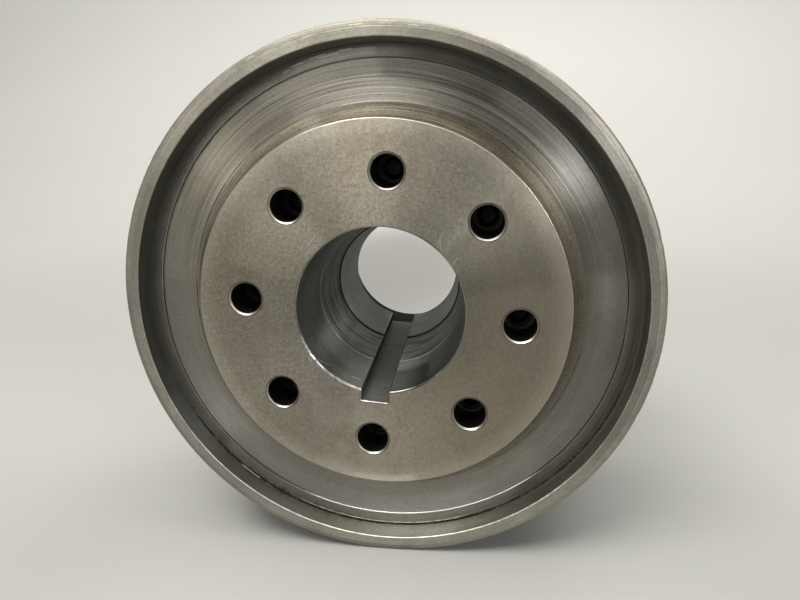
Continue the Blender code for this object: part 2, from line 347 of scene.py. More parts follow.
    def build(self, looks):
        mesh = bpy.data.meshes.new(self.name)
        mesh.from_pydata([(x * MM, y * MM, z * MM) for x, y, z in self.co], [], self.faces)
        for value, key in ((self.wear, "wear"), (self.grime, "grime")):
            mesh.attributes.new(key, "FLOAT", "POINT").data.foreach_set("value", value)
        mesh.polygons.foreach_set("material_index", self.looks)
        bm = bmesh.new()
        bm.from_mesh(mesh)
        bm.faces.ensure_lookup_table()
        bmesh.ops.recalc_face_normals(bm, faces=bm.faces[:])
        for f in bm.faces:
            f.smooth = True
        for e in bm.edges:
            f = e.link_faces
            e.smooth = len(f) == 2 and self.groups[f[0].index] == self.groups[f[1].index]
        open_edges = sum(len(e.link_faces) != 2 for e in bm.edges)
        if open_edges:
            print("OPEN EDGES", self.name, open_edges)
        bm.to_mesh(mesh)
        bm.free()
        for look in looks:
            mesh.materials.append(look)
        obj = bpy.data.objects.new(self.name, mesh)
        bpy.context.scene.collection.objects.link(obj)
        return obj


def drilled(piece, at, stations, n, look, mouth=None):
    """A round hole along Y: stations are (r, y, wear, grime). Returns its end rings."""
    first = last = None
    for k, (r, y, wear, grime) in enumerate(stations):
        ring = piece.ring(r, y, n, wear, grime, at=at)
        if last is None:
            first = ring
        else:
            piece.strip(last, ring, mouth if k == 2 and mouth is not None else look, piece.group())
        last = ring
    return first, last


ARC_POINTS, WALL_POINTS, ROUND_POINTS, FLOOR_POINTS = 208, 3, 3, 6


def keyed_loop(piece, y, r, low, high, floor, grow, wear, looks, broken=0.35, knock=None, key_grow=None,
               grime=0.0, key_wear=0.9):
    """Outline of the bore with its keyway at a depth, grown by grow all round."""
    key_grow = grow if key_grow is None else key_grow
    r, low, high, floor = r + grow, low - key_grow, high + key_grow, floor + key_grow
    rad = 0.6
    uv, edge = [], []
    a0 = math.asin(high / r) + broken / r
    a1 = TAU - math.asin(-low / r) - broken / r
    arc = [a0, a0 + 0.5 / r] + list(np.linspace(a0, a1, ARC_POINTS - 2)[1:-1]) + [a1 - 0.5 / r, a1]
    hit = knock(np.array(arc) + KEY_ANGLE) if knock else np.zeros(len(arc))
    for k, a in enumerate(arc):
        uv.append(((r + hit[k]) * math.cos(a), (r + hit[k]) * math.sin(a)))
        edge.append(1.0 if k == 0 else 0.3 if k == len(arc) - 1 else 0.0)
    for side, sign in ((low, 1), (high, -1)):
        top = math.sqrt(r * r - side * side) + broken
        foot = floor - rad
        wall = [(top, side), (top + 0.7 * (foot - top) * 0.25, side)]
        wall += [(top + (foot - top) * k / WALL_POINTS, side) for k in range(1, WALL_POINTS + 1)]
        rounding = [(foot + rad * math.sin(t), side + sign * rad * (1 - math.cos(t)))
                    for t in (math.pi / 2 * k / ROUND_POINTS for k in range(1, ROUND_POINTS + 1))]
        run = wall + rounding
        if sign > 0:
            uv += run
            edge += [0.3] + [0.0] * (len(run) - 1)
            left, right = low + rad, high - rad
            uv += [(floor, left + (right - left) * k / FLOOR_POINTS) for k in range(1, FLOOR_POINTS)]
            edge += [0.0] * (FLOOR_POINTS - 1)
        else:
            uv += run[::-1]
            edge += [0.0] * (len(run) - 1) + [1.0]
    c, s = math.cos(KEY_ANGLE), math.sin(KEY_ANGLE)
    ids = piece.add([(u * c - t * s, y, -(u * s + t * c)) for u, t in uv])
    for k, i in enumerate(ids):
        piece.wear[i] = max(wear, key_wear * edge[k])
        piece.grime[i] = grime if k < len(arc) else 0.0
    return ids, len(arc)


def keyed_columns(piece, count, arc_count, bore_look, key_look):
    """Looks and smoothing groups of the columns of a keyed bore."""
    looks, groups = [], []
    bore, run = piece.group(), WALL_POINTS + 2
    edges, key = (piece.group(), piece.group()), [piece.group() for _ in range(5)]
    for k in range(count):
        if k < arc_count - 1:
            looks.append(bore_look)
            groups.append(bore)
        elif k == arc_count - 1 or k == count - 1:
            looks.append(bore_look)
            groups.append(edges[0 if k < count - 1 else 1])
        else:
            j = k - arc_count
            looks.append(key_look)
            parts = [run - 1, ROUND_POINTS, FLOOR_POINTS, ROUND_POINTS, run - 1]
            which = 0
            while which < 4 and j >= parts[which]:
                j -= parts[which]
                which += 1
            groups.append(key[which])
    return looks, groups


def keyed_bore(piece, levels, bore_look, key_look):
    """Joins the outlines of a keyed bore, front to back."""
    last = first = None
    for y, args in levels:
        ids, arc_count = keyed_loop(piece, y, **args, looks=None)
        if last is None:
            first = ids
        else:
            looks, groups = keyed_columns(piece, len(ids), arc_count, bore_look, key_look)
            piece.strip(last, ids, looks, groups)
        last = ids
    return first, last


# ------------------------------------------------------------------ node helpers
class Val:
    """A socket that can be added, multiplied and shaped."""

    def __init__(self, tree, socket):
        self.tree, self.socket = tree, socket

    def math(self, op, *others, clamp=False):
        node = self.tree.nodes.new("ShaderNodeMath")
        node.operation, node.use_clamp = op, clamp
        for socket, value in zip(node.inputs, (self, *others)):
            put(self.tree, socket, value)
        return Val(self.tree, node.outputs[0])

    def __add__(self, o):
        return self.math("ADD", o)

    def __sub__(self, o):
        return self.math("SUBTRACT", o)

    def __mul__(self, o):
        return self.math("MULTIPLY", o)

    def __truediv__(self, o):
        return self.math("DIVIDE", o)

    __radd__, __rmul__ = __add__, __mul__

    def __rsub__(self, o):
        return (self * -1.0).math("ADD", o)

    def abs(self):
        return self.math("ABSOLUTE")

    def clamp(self):
        return self.math("ADD", 0.0, clamp=True)

    def ramp(self, low, high):
        """0 below low, 1 above high, smooth between; falling if high is lower."""
        node = self.tree.nodes.new("ShaderNodeMapRange")
        node.interpolation_type = "SMOOTHSTEP"
        put(self.tree, node.inputs["Value"], self)
        flip = high < low
        node.inputs["From Min"].default_value = high if flip else low
        node.inputs["From Max"].default_value = low if flip else high
        node.inputs["To Min"].default_value = 1.0 if flip else 0.0
        node.inputs["To Max"].default_value = 0.0 if flip else 1.0
        return Val(self.tree, node.outputs["Result"])


def put(tree, socket, value):
    if isinstance(value, Val):
        tree.links.new(value.socket, socket)
    else:
        socket.default_value = value


class Look:
    """A Principled material with the coordinates of a turned piece at hand."""

    def __init__(self, name, metallic=1.0, roughness=0.4, anisotropic=0.0, edge=1.0, specular=0.5):
        self.mat = bpy.data.materials.new(name)
        self.mat.use_nodes = True
        self.tree = self.mat.node_tree
        self.tree.nodes.clear()
        self.out = self.tree.nodes.new("ShaderNodeOutputMaterial")
        self.shader = self.tree.nodes.new("ShaderNodeBsdfPrincipled")
        self.tree.links.new(self.shader.outputs[0], self.out.inputs[0])
        self.shader.inputs["Metallic"].default_value = metallic
        self.shader.inputs["Roughness"].default_value = roughness
        self.shader.inputs["Specular Tint"].default_value = (edge, edge, edge, 1.0)
        self.shader.inputs["Specular IOR Level"].default_value = specular
        self.place = Val(self.tree, self.new("ShaderNodeTexCoord").outputs["Object"])
        split = self.new("ShaderNodeSeparateXYZ")
        put(self.tree, split.inputs[0], self.place)
        self.x, self.y, self.z = (Val(self.tree, s) for s in split.outputs)
        self.r = (self.x * self.x + self.z * self.z).math("SQRT")
        self.u, self.v = self.x / self.r, self.z / self.r
        if anisotropic:
            tangent = self.new("ShaderNodeTangent")
            tangent.direction_type, tangent.axis = "RADIAL", "Y"
            self.shader.inputs["Anisotropic"].default_value = anisotropic
            self.shader.inputs["Anisotropic Rotation"].default_value = 0.25
            self.tree.links.new(tangent.outputs[0], self.shader.inputs["Tangent"])

    def new(self, kind):
        return self.tree.nodes.new(kind)

    def vec(self, x, y, z):
        node = self.new("ShaderNodeCombineXYZ")
        for socket, value in zip(node.inputs, (x, y, z)):
            put(self.tree, socket, value)
        return Val(self.tree, node.outputs[0])

    def noise(self, scale, detail=3.0, rough=0.55, vec=None, w=None, warp=0.0):
        node = self.new("ShaderNodeTexNoise")
        node.noise_dimensions = "3D" if w is None else "4D"
        put(self.tree, node.inputs["Vector"], vec or self.place)
        if w is not None:
            put(self.tree, node.inputs["W"], w)
        node.inputs["Scale"].default_value = scale
        node.inputs["Detail"].default_value = detail
        node.inputs["Roughness"].default_value = rough
        node.inputs["Distortion"].default_value = warp
        return Val(self.tree, node.outputs["Fac"])

    def rings(self, per_mm, round_share=1.2, detail=2.0, rough=0.6, seed=0.0):
        """Turning marks: fine in radius and depth, long round the axis."""
        k = per_mm * 1000.0
        return self.noise(1.0, detail, rough,
                          self.vec(self.u * round_share, self.v * round_share, self.r * k + seed),
                          w=self.y * k)

    def cells(self, vec, scale, randomness=1.0):
        node = self.new("ShaderNodeTexVoronoi")
        node.voronoi_dimensions = "3D"
        put(self.tree, node.inputs["Vector"], vec)
        node.inputs["Scale"].default_value = scale
        node.inputs["Randomness"].default_value = randomness
        tint = self.new("ShaderNodeSeparateColor")
        self.tree.links.new(node.outputs["Color"], tint.inputs[0])
        return Val(self.tree, node.outputs["Distance"]), Val(self.tree, tint.outputs[0])

    def scratches(self, angle, long_mm, thin_mm, share, seed=0.0):
        """Short straight marks in one direction, on faces square to the axis."""
        c, s = math.cos(angle), math.sin(angle)
        a = (self.x * c + self.z * s) * (1000.0 / long_mm) + seed
        b = (self.z * c - self.x * s) * (1000.0 / thin_mm) + seed * 1.7
        d, tint = self.cells(self.vec(a, b, self.y * 40.0 + seed), 1.0)
        return d.ramp(0.32, 0.10) * tint.ramp(1.0 - share, 1.0 - share + 0.05)

    def dot(self, centre, way):
        """Distance from a point along a direction, in millimetres."""
        x, y, z = centre
        return (self.x * (way.x * 1000.0) + self.y * (way.y * 1000.0) + self.z * (way.z * 1000.0)
                - (x * way.x + y * way.y + z * way.z))

    def stroke(self, at, way, half_long, half_wide, square=None):
        """One scratch: its middle and direction in millimetres.

        square is the direction square to the surface, by default out from the axis.
        """
        way = Vector(way).normalized()
        square = Vector(square or (at[0], 0.0, at[2])).normalized()
        thin = self.dot(at, square.cross(way).normalized()).abs().ramp(half_wide, half_wide * 0.4)
        reach = self.dot(at, way).abs().ramp(half_long, half_long * 0.7)
        here = self.dot(at, square).abs().ramp(3.0, 2.0)
        return thin * reach * here

    def toward(self, turn, full, none):
        """1 within full degrees of a direction round the axis, 0 beyond none degrees."""
        a = math.radians(turn)
        return (self.u * math.cos(a) + self.v * math.sin(a)).ramp(
            math.cos(math.radians(none)), math.cos(math.radians(full)))

    def patches(self, base, light_shade_and_stains, ragged, broken=None):
        """Tints parts of the way round: (direction, full, none, share, colour). Most are
        painted light and shade, others stains, dirt or wear.

        A spot may also name a span it stays within: "r" or "y", low, high, soft.
        """
        for turn, full, none, share, colour, *span in light_shade_and_stains:
            here = (self.toward(turn, full, none) + (ragged - 0.5) * 0.5).ramp(0.12, 0.88) * share
            if span:
                axis, low, high, soft = span
                at = (self.r if axis == "r" else self.y) * 1000.0
                here = here * at.ramp(low - soft, low + soft) * at.ramp(high + soft, high - soft)
            base = self.mix(here if broken is None else here * broken, base, colour)
        return base

    def attr(self, name):
        node = self.new("ShaderNodeAttribute")
        node.attribute_name = name
        return Val(self.tree, node.outputs["Fac"])

    def mix(self, share, a, b, blend="MIX"):
        node = self.new("ShaderNodeMix")
        node.data_type, node.blend_type = "RGBA", blend
        put(self.tree, node.inputs[0], share)
        for socket, value in ((node.inputs[6], a), (node.inputs[7], b)):
            put(self.tree, socket, value if isinstance(value, Val) else (*value, 1.0))
        return Val(self.tree, node.outputs[2])

    def tone(self, colour, level):
        """colour times level."""
        node = self.new("ShaderNodeVectorMath")
        node.operation = "SCALE"
        put(self.tree, node.inputs[0], colour)
        put(self.tree, node.inputs["Scale"], level)
        return Val(self.tree, node.outputs[0])

    def bump(self, height, depth_mm, normal=None):
        node = self.new("ShaderNodeBump")
        node.inputs["Strength"].default_value = 1.0
        node.inputs["Distance"].default_value = depth_mm * MM
        put(self.tree, node.inputs["Height"], height)
        if normal is not None:
            put(self.tree, node.inputs["Normal"], normal)
        return Val(self.tree, node.outputs[0])

    def finish(self, colour=None, roughness=None, normal=None, metallic=None):
        for key, value in (("Base Color", colour), ("Roughness", roughness),
                           ("Normal", normal), ("Metallic", metallic)):
            if value is not None:
                put(self.tree, self.shader.inputs[key], value)
        return self.mat


# ------------------------------------------------------------------ finishes
BRIGHT_CUT, DARK_CUT = (0.58, 0.55, 0.49), (0.055, 0.046, 0.034)
FACE_SCRATCHES = [   # x, z, direction in degrees, half length, tint
    (-51.2, 57.8, 172.0, 1.9, BRIGHT_CUT), (-27.1, 58.0, 143.0, 1.3, DARK_CUT), (-9.4, 58.9, 174.0, 1.5, DARK_CUT),
    (-30.0, 49.2, 21.0, 1.4, DARK_CUT), (-37.4, 9.4, 178.0, 1.8, BRIGHT_CUT), (26.6, 31.4, 58.0, 3.7, BRIGHT_CUT),
    (26.2, 28.8, 94.0, 2.6, BRIGHT_CUT), (31.8, 21.3, 56.0, 2.2, BRIGHT_CUT), (-27.4, 30.4, 45.0, 3.4, BRIGHT_CUT),
    (-24.6, 30.9, 29.0, 2.5, BRIGHT_CUT), (-17.4, -34.2, 156.0, 2.1, BRIGHT_CUT), (-31.4, -21.9, 133.0, 1.6, BRIGHT_CUT),
    (47.0, -52.5, 144.0, 3.5, DARK_CUT), (20.8, 33.2, 38.0, 2.0, BRIGHT_CUT), (-29.6, 25.2, 62.0, 1.8, BRIGHT_CUT)]


def boss_face_look():
    k = Look("boss_face_steel", anisotropic=0.78)
    blotch, stain, patch = k.noise(22, 5, 0.6, warp=0.6), k.noise(95, 4, 0.6), k.noise(210, 3, 0.6, warp=0.4)
    grain, speck, fleck = k.noise(1300, 3, 0.65), k.noise(560, 3, 0.6), k.noise(2400, 2, 0.6)
    lines = k.rings(1.1, 0.9, detail=1.0)
    marks = [k.scratches(a, long, thin, share, seed) for a, long, thin, share, seed in (
        (0.35, 14.0, 0.24, 0.020, 1.3), (1.25, 22.0, 0.22, 0.016, 4.1), (2.2, 11.0, 0.22, 0.022, 7.7),
        (2.85, 26.0, 0.20, 0.014, 9.2), (0.9, 6.0, 0.26, 0.030, 12.4))]
    marks = sum(marks[1:], marks[0]).clamp()
    pits, pit_tint = k.cells(k.place, 300)
    pits = pits.ramp(0.17, 0.08) * pit_tint.ramp(0.84, 0.92)
    wear = (k.attr("wear") * (0.1 + stain * 0.9 + blotch * 0.7)).ramp(0.45, 1.0)
    base = k.mix(blotch.ramp(0.34, 0.66), (0.208, 0.183, 0.144), (0.246, 0.228, 0.192))
    base = k.mix(patch.ramp(0.45, 0.70) * 0.5, base, (0.244, 0.232, 0.205))
    base = k.mix(stain.ramp(0.52, 0.76) * 0.6, base, (0.166, 0.138, 0.100))
    ring = (k.r * 1000.0 - PCD_R).abs().ramp(17.0, 5.0)
    base = k.mix(ring * blotch.ramp(0.42, 0.62) * stain.ramp(0.36, 0.60) * 0.45, base, (0.165, 0.140, 0.106))
    rim = k.r.ramp(70.0 * MM, 79.0 * MM) * 0.34 - k.r.ramp(52.0 * MM, 40.0 * MM) * 0.10
    calm = 0.55 + (k.v * 0.6 - k.u * 0.8).ramp(-0.7, 0.7) * 0.45
    # Painted light and shade round the face: darker at the lower right and near 26 degrees, lighter near 57 and 143
    # degrees and low on the edge at the bottom.
    base = k.patches(base, ((325.0, 30.0, 80.0, 0.55, (0.176, 0.157, 0.122)),
                            (26.0, 8.0, 21.0, 0.6, (0.150, 0.135, 0.108), "r", 20.0, 72.0, 6.0),
                            (57.0, 8.0, 20.0, 0.5, (0.275, 0.257, 0.218)),
                            (143.0, 8.0, 24.0, 0.7, (0.300, 0.278, 0.232), "r", 20.0, 68.0, 8.0),
                            (269.0, 4.0, 14.0, 0.6, (0.320, 0.310, 0.272), "r", 76.0, 90.0, 1.5)), blotch)
    base = k.tone(base, rim + 0.97 + ((grain.ramp(0.25, 0.75) - 0.5) * 0.46 + (speck.ramp(0.25, 0.75) - 0.5) * 0.36
                                     + (fleck - 0.5) * 0.34) * calm + (lines - 0.5) * 0.14)
    base = k.mix(marks * 0.34, base, (0.50, 0.47, 0.41))
    for x, z, turn, half, colour in FACE_SCRATCHES:
        a = math.radians(turn)
        line = k.stroke((x, 0.0, z), (math.cos(a), 0.0, math.sin(a)), half, 0.15, square=(0.0, -1.0, 0.0))
        base = k.mix(line * stain.ramp(0.25, 0.50) * 0.45, base, colour)
    base = k.mix(pits * 0.45, base, (0.12, 0.10, 0.075))
    base = k.mix(wear, base, (0.42, 0.40, 0.355))
    base = k.patches(base, ((232.0, 26.0, 40.0, 0.9, (0.50, 0.48, 0.43), "r", 20.0, 36.75, 0.15),), stain, speck.ramp(0.34, 0.52))
    rough = 0.45 + (blotch - 0.5) * 0.20 + (speck - 0.5) * 0.26 + marks * 0.08 - wear * 0.10
    relief = grain * 0.6 + speck * 0.6 + lines * 0.4 - marks * 0.6 - pits * 1.2
    return k.finish(base, rough, k.bump(relief, 0.016))


def turned_look(name, inner, outer, r0, r1, rough0, line=1.0, anisotropic=0.55, wear_to=(0.42, 0.40, 0.36),
                grime_to=(0.070, 0.063, 0.048), metal=1.0, calm=None, soil=None, mottle=0.36, rust=None, ridge=0.0,
                dark_rings=(), worn=(0.45, 1.0), chips=(), lit=None, light_shade_and_stains=(), gleam=(), worn_at=None, clean=None,
                broken=0.65, faint=None, grit=0.34, chip_to=(0.40, 0.37, 0.30),
                chip_square=None):
    """Turned metal: tool marks round the axis, from one tint to another with the radius.

    calm: radii between which the marks get weaker. soil: depths between which
    the brown soil near the front thins out. rust: direction and half width, in
    degrees, of a rusty stretch of the dirty corner. ridge: share of the thin
    bright lines on top of the marks: painted highlights, with painted shade in
    the grooves between. dark_rings: dark lines round the axis, as
    (radius, half width, strength, direction, full, none). chips: light scratches
    on a wall as (direction in degrees, radius, depth, half length, half width).
    lit: direction, full and none, in degrees, of the part where the marks show most:
    painted light, where the light catches them. spots, gleam: tinted parts, as for
    Look.patches, under and over the marks: mostly painted light and shade under them,
    with some stains and dirt, and mostly painted highlights over them. worn_at: the part, like lit, where
    the edges are rubbed bright. clean: the part, like lit, with little film.
    broken: how patchy the gleam is. faint: the part, like lit, with little crust in
    the corner. grit: share of the fine grain. chip_square: the direction square
    to the surface the scratches lie on, where that is no wall.
    """
    k = Look(name, anisotropic=anisotropic)
    fine, mid, wide = k.rings(1.7, 0.9, detail=1.0), k.rings(1.15, 0.7, detail=0.8, seed=3.1), k.rings(0.32, 0.6, seed=8.4)
    vary = k.rings(0.42, 3.2, detail=1.0, seed=21.0).ramp(0.34, 0.62)
    blotch, stain, grain = k.noise(30, 5, 0.6, warp=0.5), k.noise(150, 4, 0.6), k.noise(1200, 3, 0.65)
    force = k.r.ramp(calm[1] * MM, calm[0] * MM) * (0.62 * line) + 0.38 * line if calm else line
    # lit: painted light, the marks show most where the light catches them.
    if lit:
        force = (k.toward(*lit) * 0.82 + 0.18) * force
    wear = (k.attr("wear") * (0.1 + stain * 0.9 + blotch * 0.7)).ramp(*worn)
    if worn_at:
        wear = wear * k.toward(*worn_at)
    # The grime share darkens corners: dirt, and painted shade near the foot of the rim wall.
    dirt_and_shade = k.attr("grime")
    low_right = (k.u * 0.78 - k.v * 0.62).ramp(0.1, 0.85)
    film_and_shade = (dirt_and_shade * (stain * 0.8 + blotch * 0.3 - 0.08 + low_right * 1.1)).ramp(0.30, 0.90)
    if clean:
        film_and_shade = film_and_shade * (1.0 - k.toward(*clean) * 0.8)
    crust = (dirt_and_shade + (stain - 0.5) * 0.6 + (grain - 0.5) * 0.7).ramp(0.84, 0.96)
    if faint:
        crust = crust * (1.0 - k.toward(*faint) * 0.8)
    marks = (fine.ramp(0.38, 0.62) * 0.68 + mid.ramp(0.38, 0.62) * 0.22 + wide.ramp(0.36, 0.64) * 0.10 - 0.5)
    marks = marks * force * (vary * 0.62 + 0.32)
    # spots: mostly painted light and shade round the way, with some stains.
    base = k.patches(k.mix(k.r.ramp(r0 * MM, r1 * MM), inner, outer), light_shade_and_stains, stain)
    base = k.tone(base, 1.07 + marks * 1.05 + (blotch - 0.5) * mottle + (stain - 0.5) * mottle * 0.6
                  + (grain.ramp(0.2, 0.8) - 0.5) * grit)
    base = k.mix(stain.ramp(0.56, 0.76) * 0.4, base, tuple(c * f for c, f in zip(inner, (0.78, 0.68, 0.56))))
    # ridge: painted highlight lines on the marks, and painted shade in the grooves between.
    if ridge:
        base = k.mix(fine.ramp(0.60, 0.69) * vary * force * ridge, base, tuple(min(1.0, c * 2.8) for c in outer))
        base = k.mix(fine.ramp(0.36, 0.28) * vary * force * (ridge * 0.5), base, tuple(c * 0.35 for c in inner))
    for at, half, depth, *where in dark_rings:
        thin = (k.r * 1000.0 + (blotch - 0.5) * 0.7 + (stain - 0.5) * 0.5 - at).abs().ramp(half, half * 0.4)
        base = k.mix(thin * k.toward(*where) * (stain + grain * 0.4).ramp(0.50, 0.80) * depth, base, (0.024, 0.021, 0.016))
    if soil:
        brown = (k.y * 1000.0 + (stain - 0.5) * 5.0 + (blotch - 0.5) * 5.0).ramp(soil[1], soil[0])
        base = k.mix(brown * 0.75, base, (0.130, 0.111, 0.078))
    base = k.mix(wear, base, wear_to)
    base = k.mix(film_and_shade * 0.88, base, grime_to)
    if rust:
        a, half = math.radians(rust[0]), math.radians(rust[1])
        near = (k.u * math.cos(a) + k.v * math.sin(a)).ramp(math.cos(half * 1.5), math.cos(half * 0.6))
        base = k.mix(near * dirt_and_shade.ramp(0.10, 0.55) * k.noise(230, 4, 0.65).ramp(0.46, 0.62) * 0.8, base, (0.105, 0.066, 0.042))
    base = k.mix(crust * 0.95, base, (0.012, 0.010, 0.006))
    for turn, radius, depth, half, wide_half in chips:
        c, v = math.cos(math.radians(turn)), math.sin(math.radians(turn))
        chip = k.stroke((radius * c, depth, radius * v), (-v, 0.0, c), half, wide_half, square=chip_square)
        base = k.mix(chip * stain.ramp(0.30, 0.52) * 0.8, base, chip_to)
    # gleam: mostly painted highlights over the marks.
    if gleam:
        base = k.patches(base, gleam, stain, k.noise(380, 3, 0.6).ramp(0.36, 0.60) * broken + (1.0 - broken))
    rough = rough0 + (fine - 0.5) * 0.14 + (blotch - 0.5) * 0.18 - wear * 0.12 + film_and_shade * 0.22 + crust * 0.15
    relief = fine * 0.9 + mid * 0.35 + wide * 0.15 + grain * 0.14 + crust * 0.8
    put(k.tree, k.shader.inputs["Specular IOR Level"], 0.5 - crust * 0.4)
    return k.finish(base, rough, k.bump(relief, 0.034 * line + 0.003), metal - film_and_shade * (metal * 0.4) - crust * (metal * 0.6))


def bore_look(name, base0, level, smooth_to, rough0=0.42, anisotropic=0.9, strokes=(), edge=0.6, metal=1.0, specular=0.5,
              light_shade_and_stains=()):
    """Bored steel. Beyond smooth_to the tool marks show, after a faint light line."""
    k = Look(name, anisotropic=anisotropic, edge=edge, specular=specular)
    fine, mid, wide = k.rings(2.0, 1.6, detail=1.0), k.rings(0.7, 1.6, detail=0.6, seed=5.0), k.rings(0.25, 1.3, seed=2.2)
    blotch, stain, grain = k.noise(45, 4, 0.6), k.noise(160, 4, 0.6), k.noise(1300, 3, 0.6)
    wear = (k.attr("wear") * (0.1 + stain * 0.9 + blotch * 0.7)).ramp(0.45, 1.0)
    depth = k.y * 1000.0 + (blotch - 0.5) * 1.6
    marked = depth.ramp(smooth_to - 1.2, smooth_to + 1.2)
    line = (depth - smooth_to).abs().ramp(0.8, 0.25) * stain.ramp(0.30, 0.55)
    marks = (fine.ramp(0.36, 0.64) * 0.45 + mid.ramp(0.36, 0.64) * 0.35 + wide.ramp(0.36, 0.64) * 0.2 - 0.5)
    marks = marks * (0.20 + marked * 1.05)
    # spots: painted light and shade round the bore.
    base = k.patches(k.mix(blotch.ramp(0.35, 0.65), base0, tuple(c * 1.25 for c in base0)), light_shade_and_stains, stain)
    base = k.tone(base,
                  level * (0.96 + marks * 1.15 + line * 1.5 + (grain.ramp(0.2, 0.8) - 0.5) * 0.45 + (stain - 0.5) * 0.4))
    base = k.mix(stain.ramp(0.58, 0.78) * 0.4, base, tuple(c * 0.6 for c in base0))
    base = k.mix(wear, base, (0.36, 0.35, 0.32))
    if light_shade_and_stains:
        base = k.patches(base, ((232.0, 26.0, 40.0, 0.9, (0.56, 0.54, 0.49), "y", -9.0, 0.75, 0.15),), stain,
                         k.noise(560, 3, 0.6).ramp(0.34, 0.52))
    for at, way, half_long, half_wide in strokes:
        base = k.mix(k.stroke(at, way, half_long, half_wide) * 0.9, base, (0.62, 0.60, 0.56))
    dirt_and_shade = k.attr("grime").ramp(0.3, 0.8)
    base = k.mix(dirt_and_shade * 0.95, base, (0.006, 0.006, 0.006))
    rough = rough0 + (blotch - 0.5) * 0.2 + (fine - 0.5) * 0.16 * (0.3 + marked) + (grain - 0.5) * 0.12 - wear * 0.12
    return k.finish(base, rough + dirt_and_shade * 0.2, k.bump(marks + grain * 0.35, 0.014), metal - dirt_and_shade * (0.9 * metal))


def screw_look():
    k = Look("black_oxide_screw", metallic=0.85)
    blotch, grain = k.noise(160, 4, 0.6), k.noise(1500, 2, 0.5)
    wear = (k.attr("wear") * (0.2 + blotch * 1.5)).ramp(0.45, 0.95)
    base = k.mix(blotch.ramp(0.35, 0.7), (0.014, 0.014, 0.015), (0.034, 0.033, 0.032))
    base = k.mix(wear, base, (0.42, 0.41, 0.39))
    # Painted shade: near black towards the tip, down in the tapped hole.
    base = k.mix(k.y.ramp(0.030, 0.024) * 0.85, base, (0.004, 0.004, 0.004))
    rough = 0.46 + (blotch - 0.5) * 0.25 + (grain - 0.5) * 0.1 - wear * 0.14
    return k.finish(base, rough, k.bump(grain * 0.5 + blotch * 0.4, 0.006))


def plain_steel_look(name, low, high, rough0, relief_mm):
    k = Look(name)
    blotch, stain, grain = k.noise(120, 4, 0.6), k.noise(420, 3, 0.6), k.noise(1600, 2, 0.5)
    wear = (k.attr("wear") * (0.3 + blotch * 1.3)).ramp(0.35, 0.9)
    base = k.mix(blotch.ramp(0.3, 0.7), low, high)
    base = k.mix(stain.ramp(0.58, 0.75) * 0.4, base, tuple(c * 0.55 for c in low))
    base = k.mix(wear, base, (0.70, 0.69, 0.66))
    rough = rough0 + (stain - 0.5) * 0.25 + (grain - 0.5) * 0.1
    return k.finish(base, rough, k.bump(stain * 0.6 + grain * 0.4, relief_mm))


FACE = boss_face_look()
# Recess floor: the spots are painted light and shade round the way, except the brown stain at 28 degrees. The dark
# rings are painted shade along the foot of the fillet and in the step gap at the upper left. The gleam rings are
# painted highlights on the marks.
TURNED = turned_look("recess_turned_steel", (0.158, 0.144, 0.119), (0.213, 0.205, 0.183), 85.0, 95.0, 0.42,
                     anisotropic=0.92, calm=(95.0, 99.0), ridge=0.6, lit=(94.0, 46.0, 80.0),
                     dark_rings=((86.3, 0.42, 0.7, 166.0, 30.0, 56.0), (86.3, 0.42, 0.5, 312.0, 25.0, 48.0),
                                 (101.75, 0.30, 0.55, 138.0, 26.0, 50.0)),
                     light_shade_and_stains=((17.0, 4.0, 12.0, 0.6, (0.130, 0.124, 0.112)), (335.0, 14.0, 28.0, 0.7, (0.150, 0.144, 0.128)),
                            (74.0, 9.0, 18.0, 0.7, (0.108, 0.099, 0.092), "r", 94.5, 120.0, 2.0),
                            (60.0, 12.0, 25.0, 0.7, (0.225, 0.205, 0.172), "r", 70.0, 93.5, 1.5),
                            (262.0, 22.0, 42.0, 0.8, (0.272, 0.265, 0.245), "r", 94.0, 120.0, 2.0),
                            (154.0, 9.0, 25.0, 0.75, (0.272, 0.252, 0.212)), (120.0, 9.0, 24.0, 0.6, (0.250, 0.231, 0.194)),
                            (136.0, 8.0, 20.0, 0.5, (0.150, 0.140, 0.118), "r", 98.5, 120.0, 1.2),
                            (208.0, 45.0, 85.0, 0.7, (0.240, 0.228, 0.198), "r", 70.0, 93.0, 2.0),
                            (90.0, 17.0, 29.0, 0.7, (0.260, 0.247, 0.222), "r", 83.5, 92.0, 0.5),
                            (0.0, 8.0, 20.0, 0.5, (0.118, 0.112, 0.098), "r", 97.0, 120.0, 2.0),
                            (28.0, 34.0, 58.0, 0.4, (0.142, 0.122, 0.087), "r", 70.0, 86.2, 1.5)),
                     gleam=((83.0, 12.0, 22.0, 0.7, (0.50, 0.48, 0.43), "r", 85.45, 85.80, 0.15),
                            (100.0, 6.0, 15.0, 0.6, (0.44, 0.42, 0.37), "r", 95.40, 95.75, 0.15),
                            (97.0, 7.0, 17.0, 0.45, (0.40, 0.38, 0.34), "r", 93.75, 94.05, 0.15)), broken=0.35)
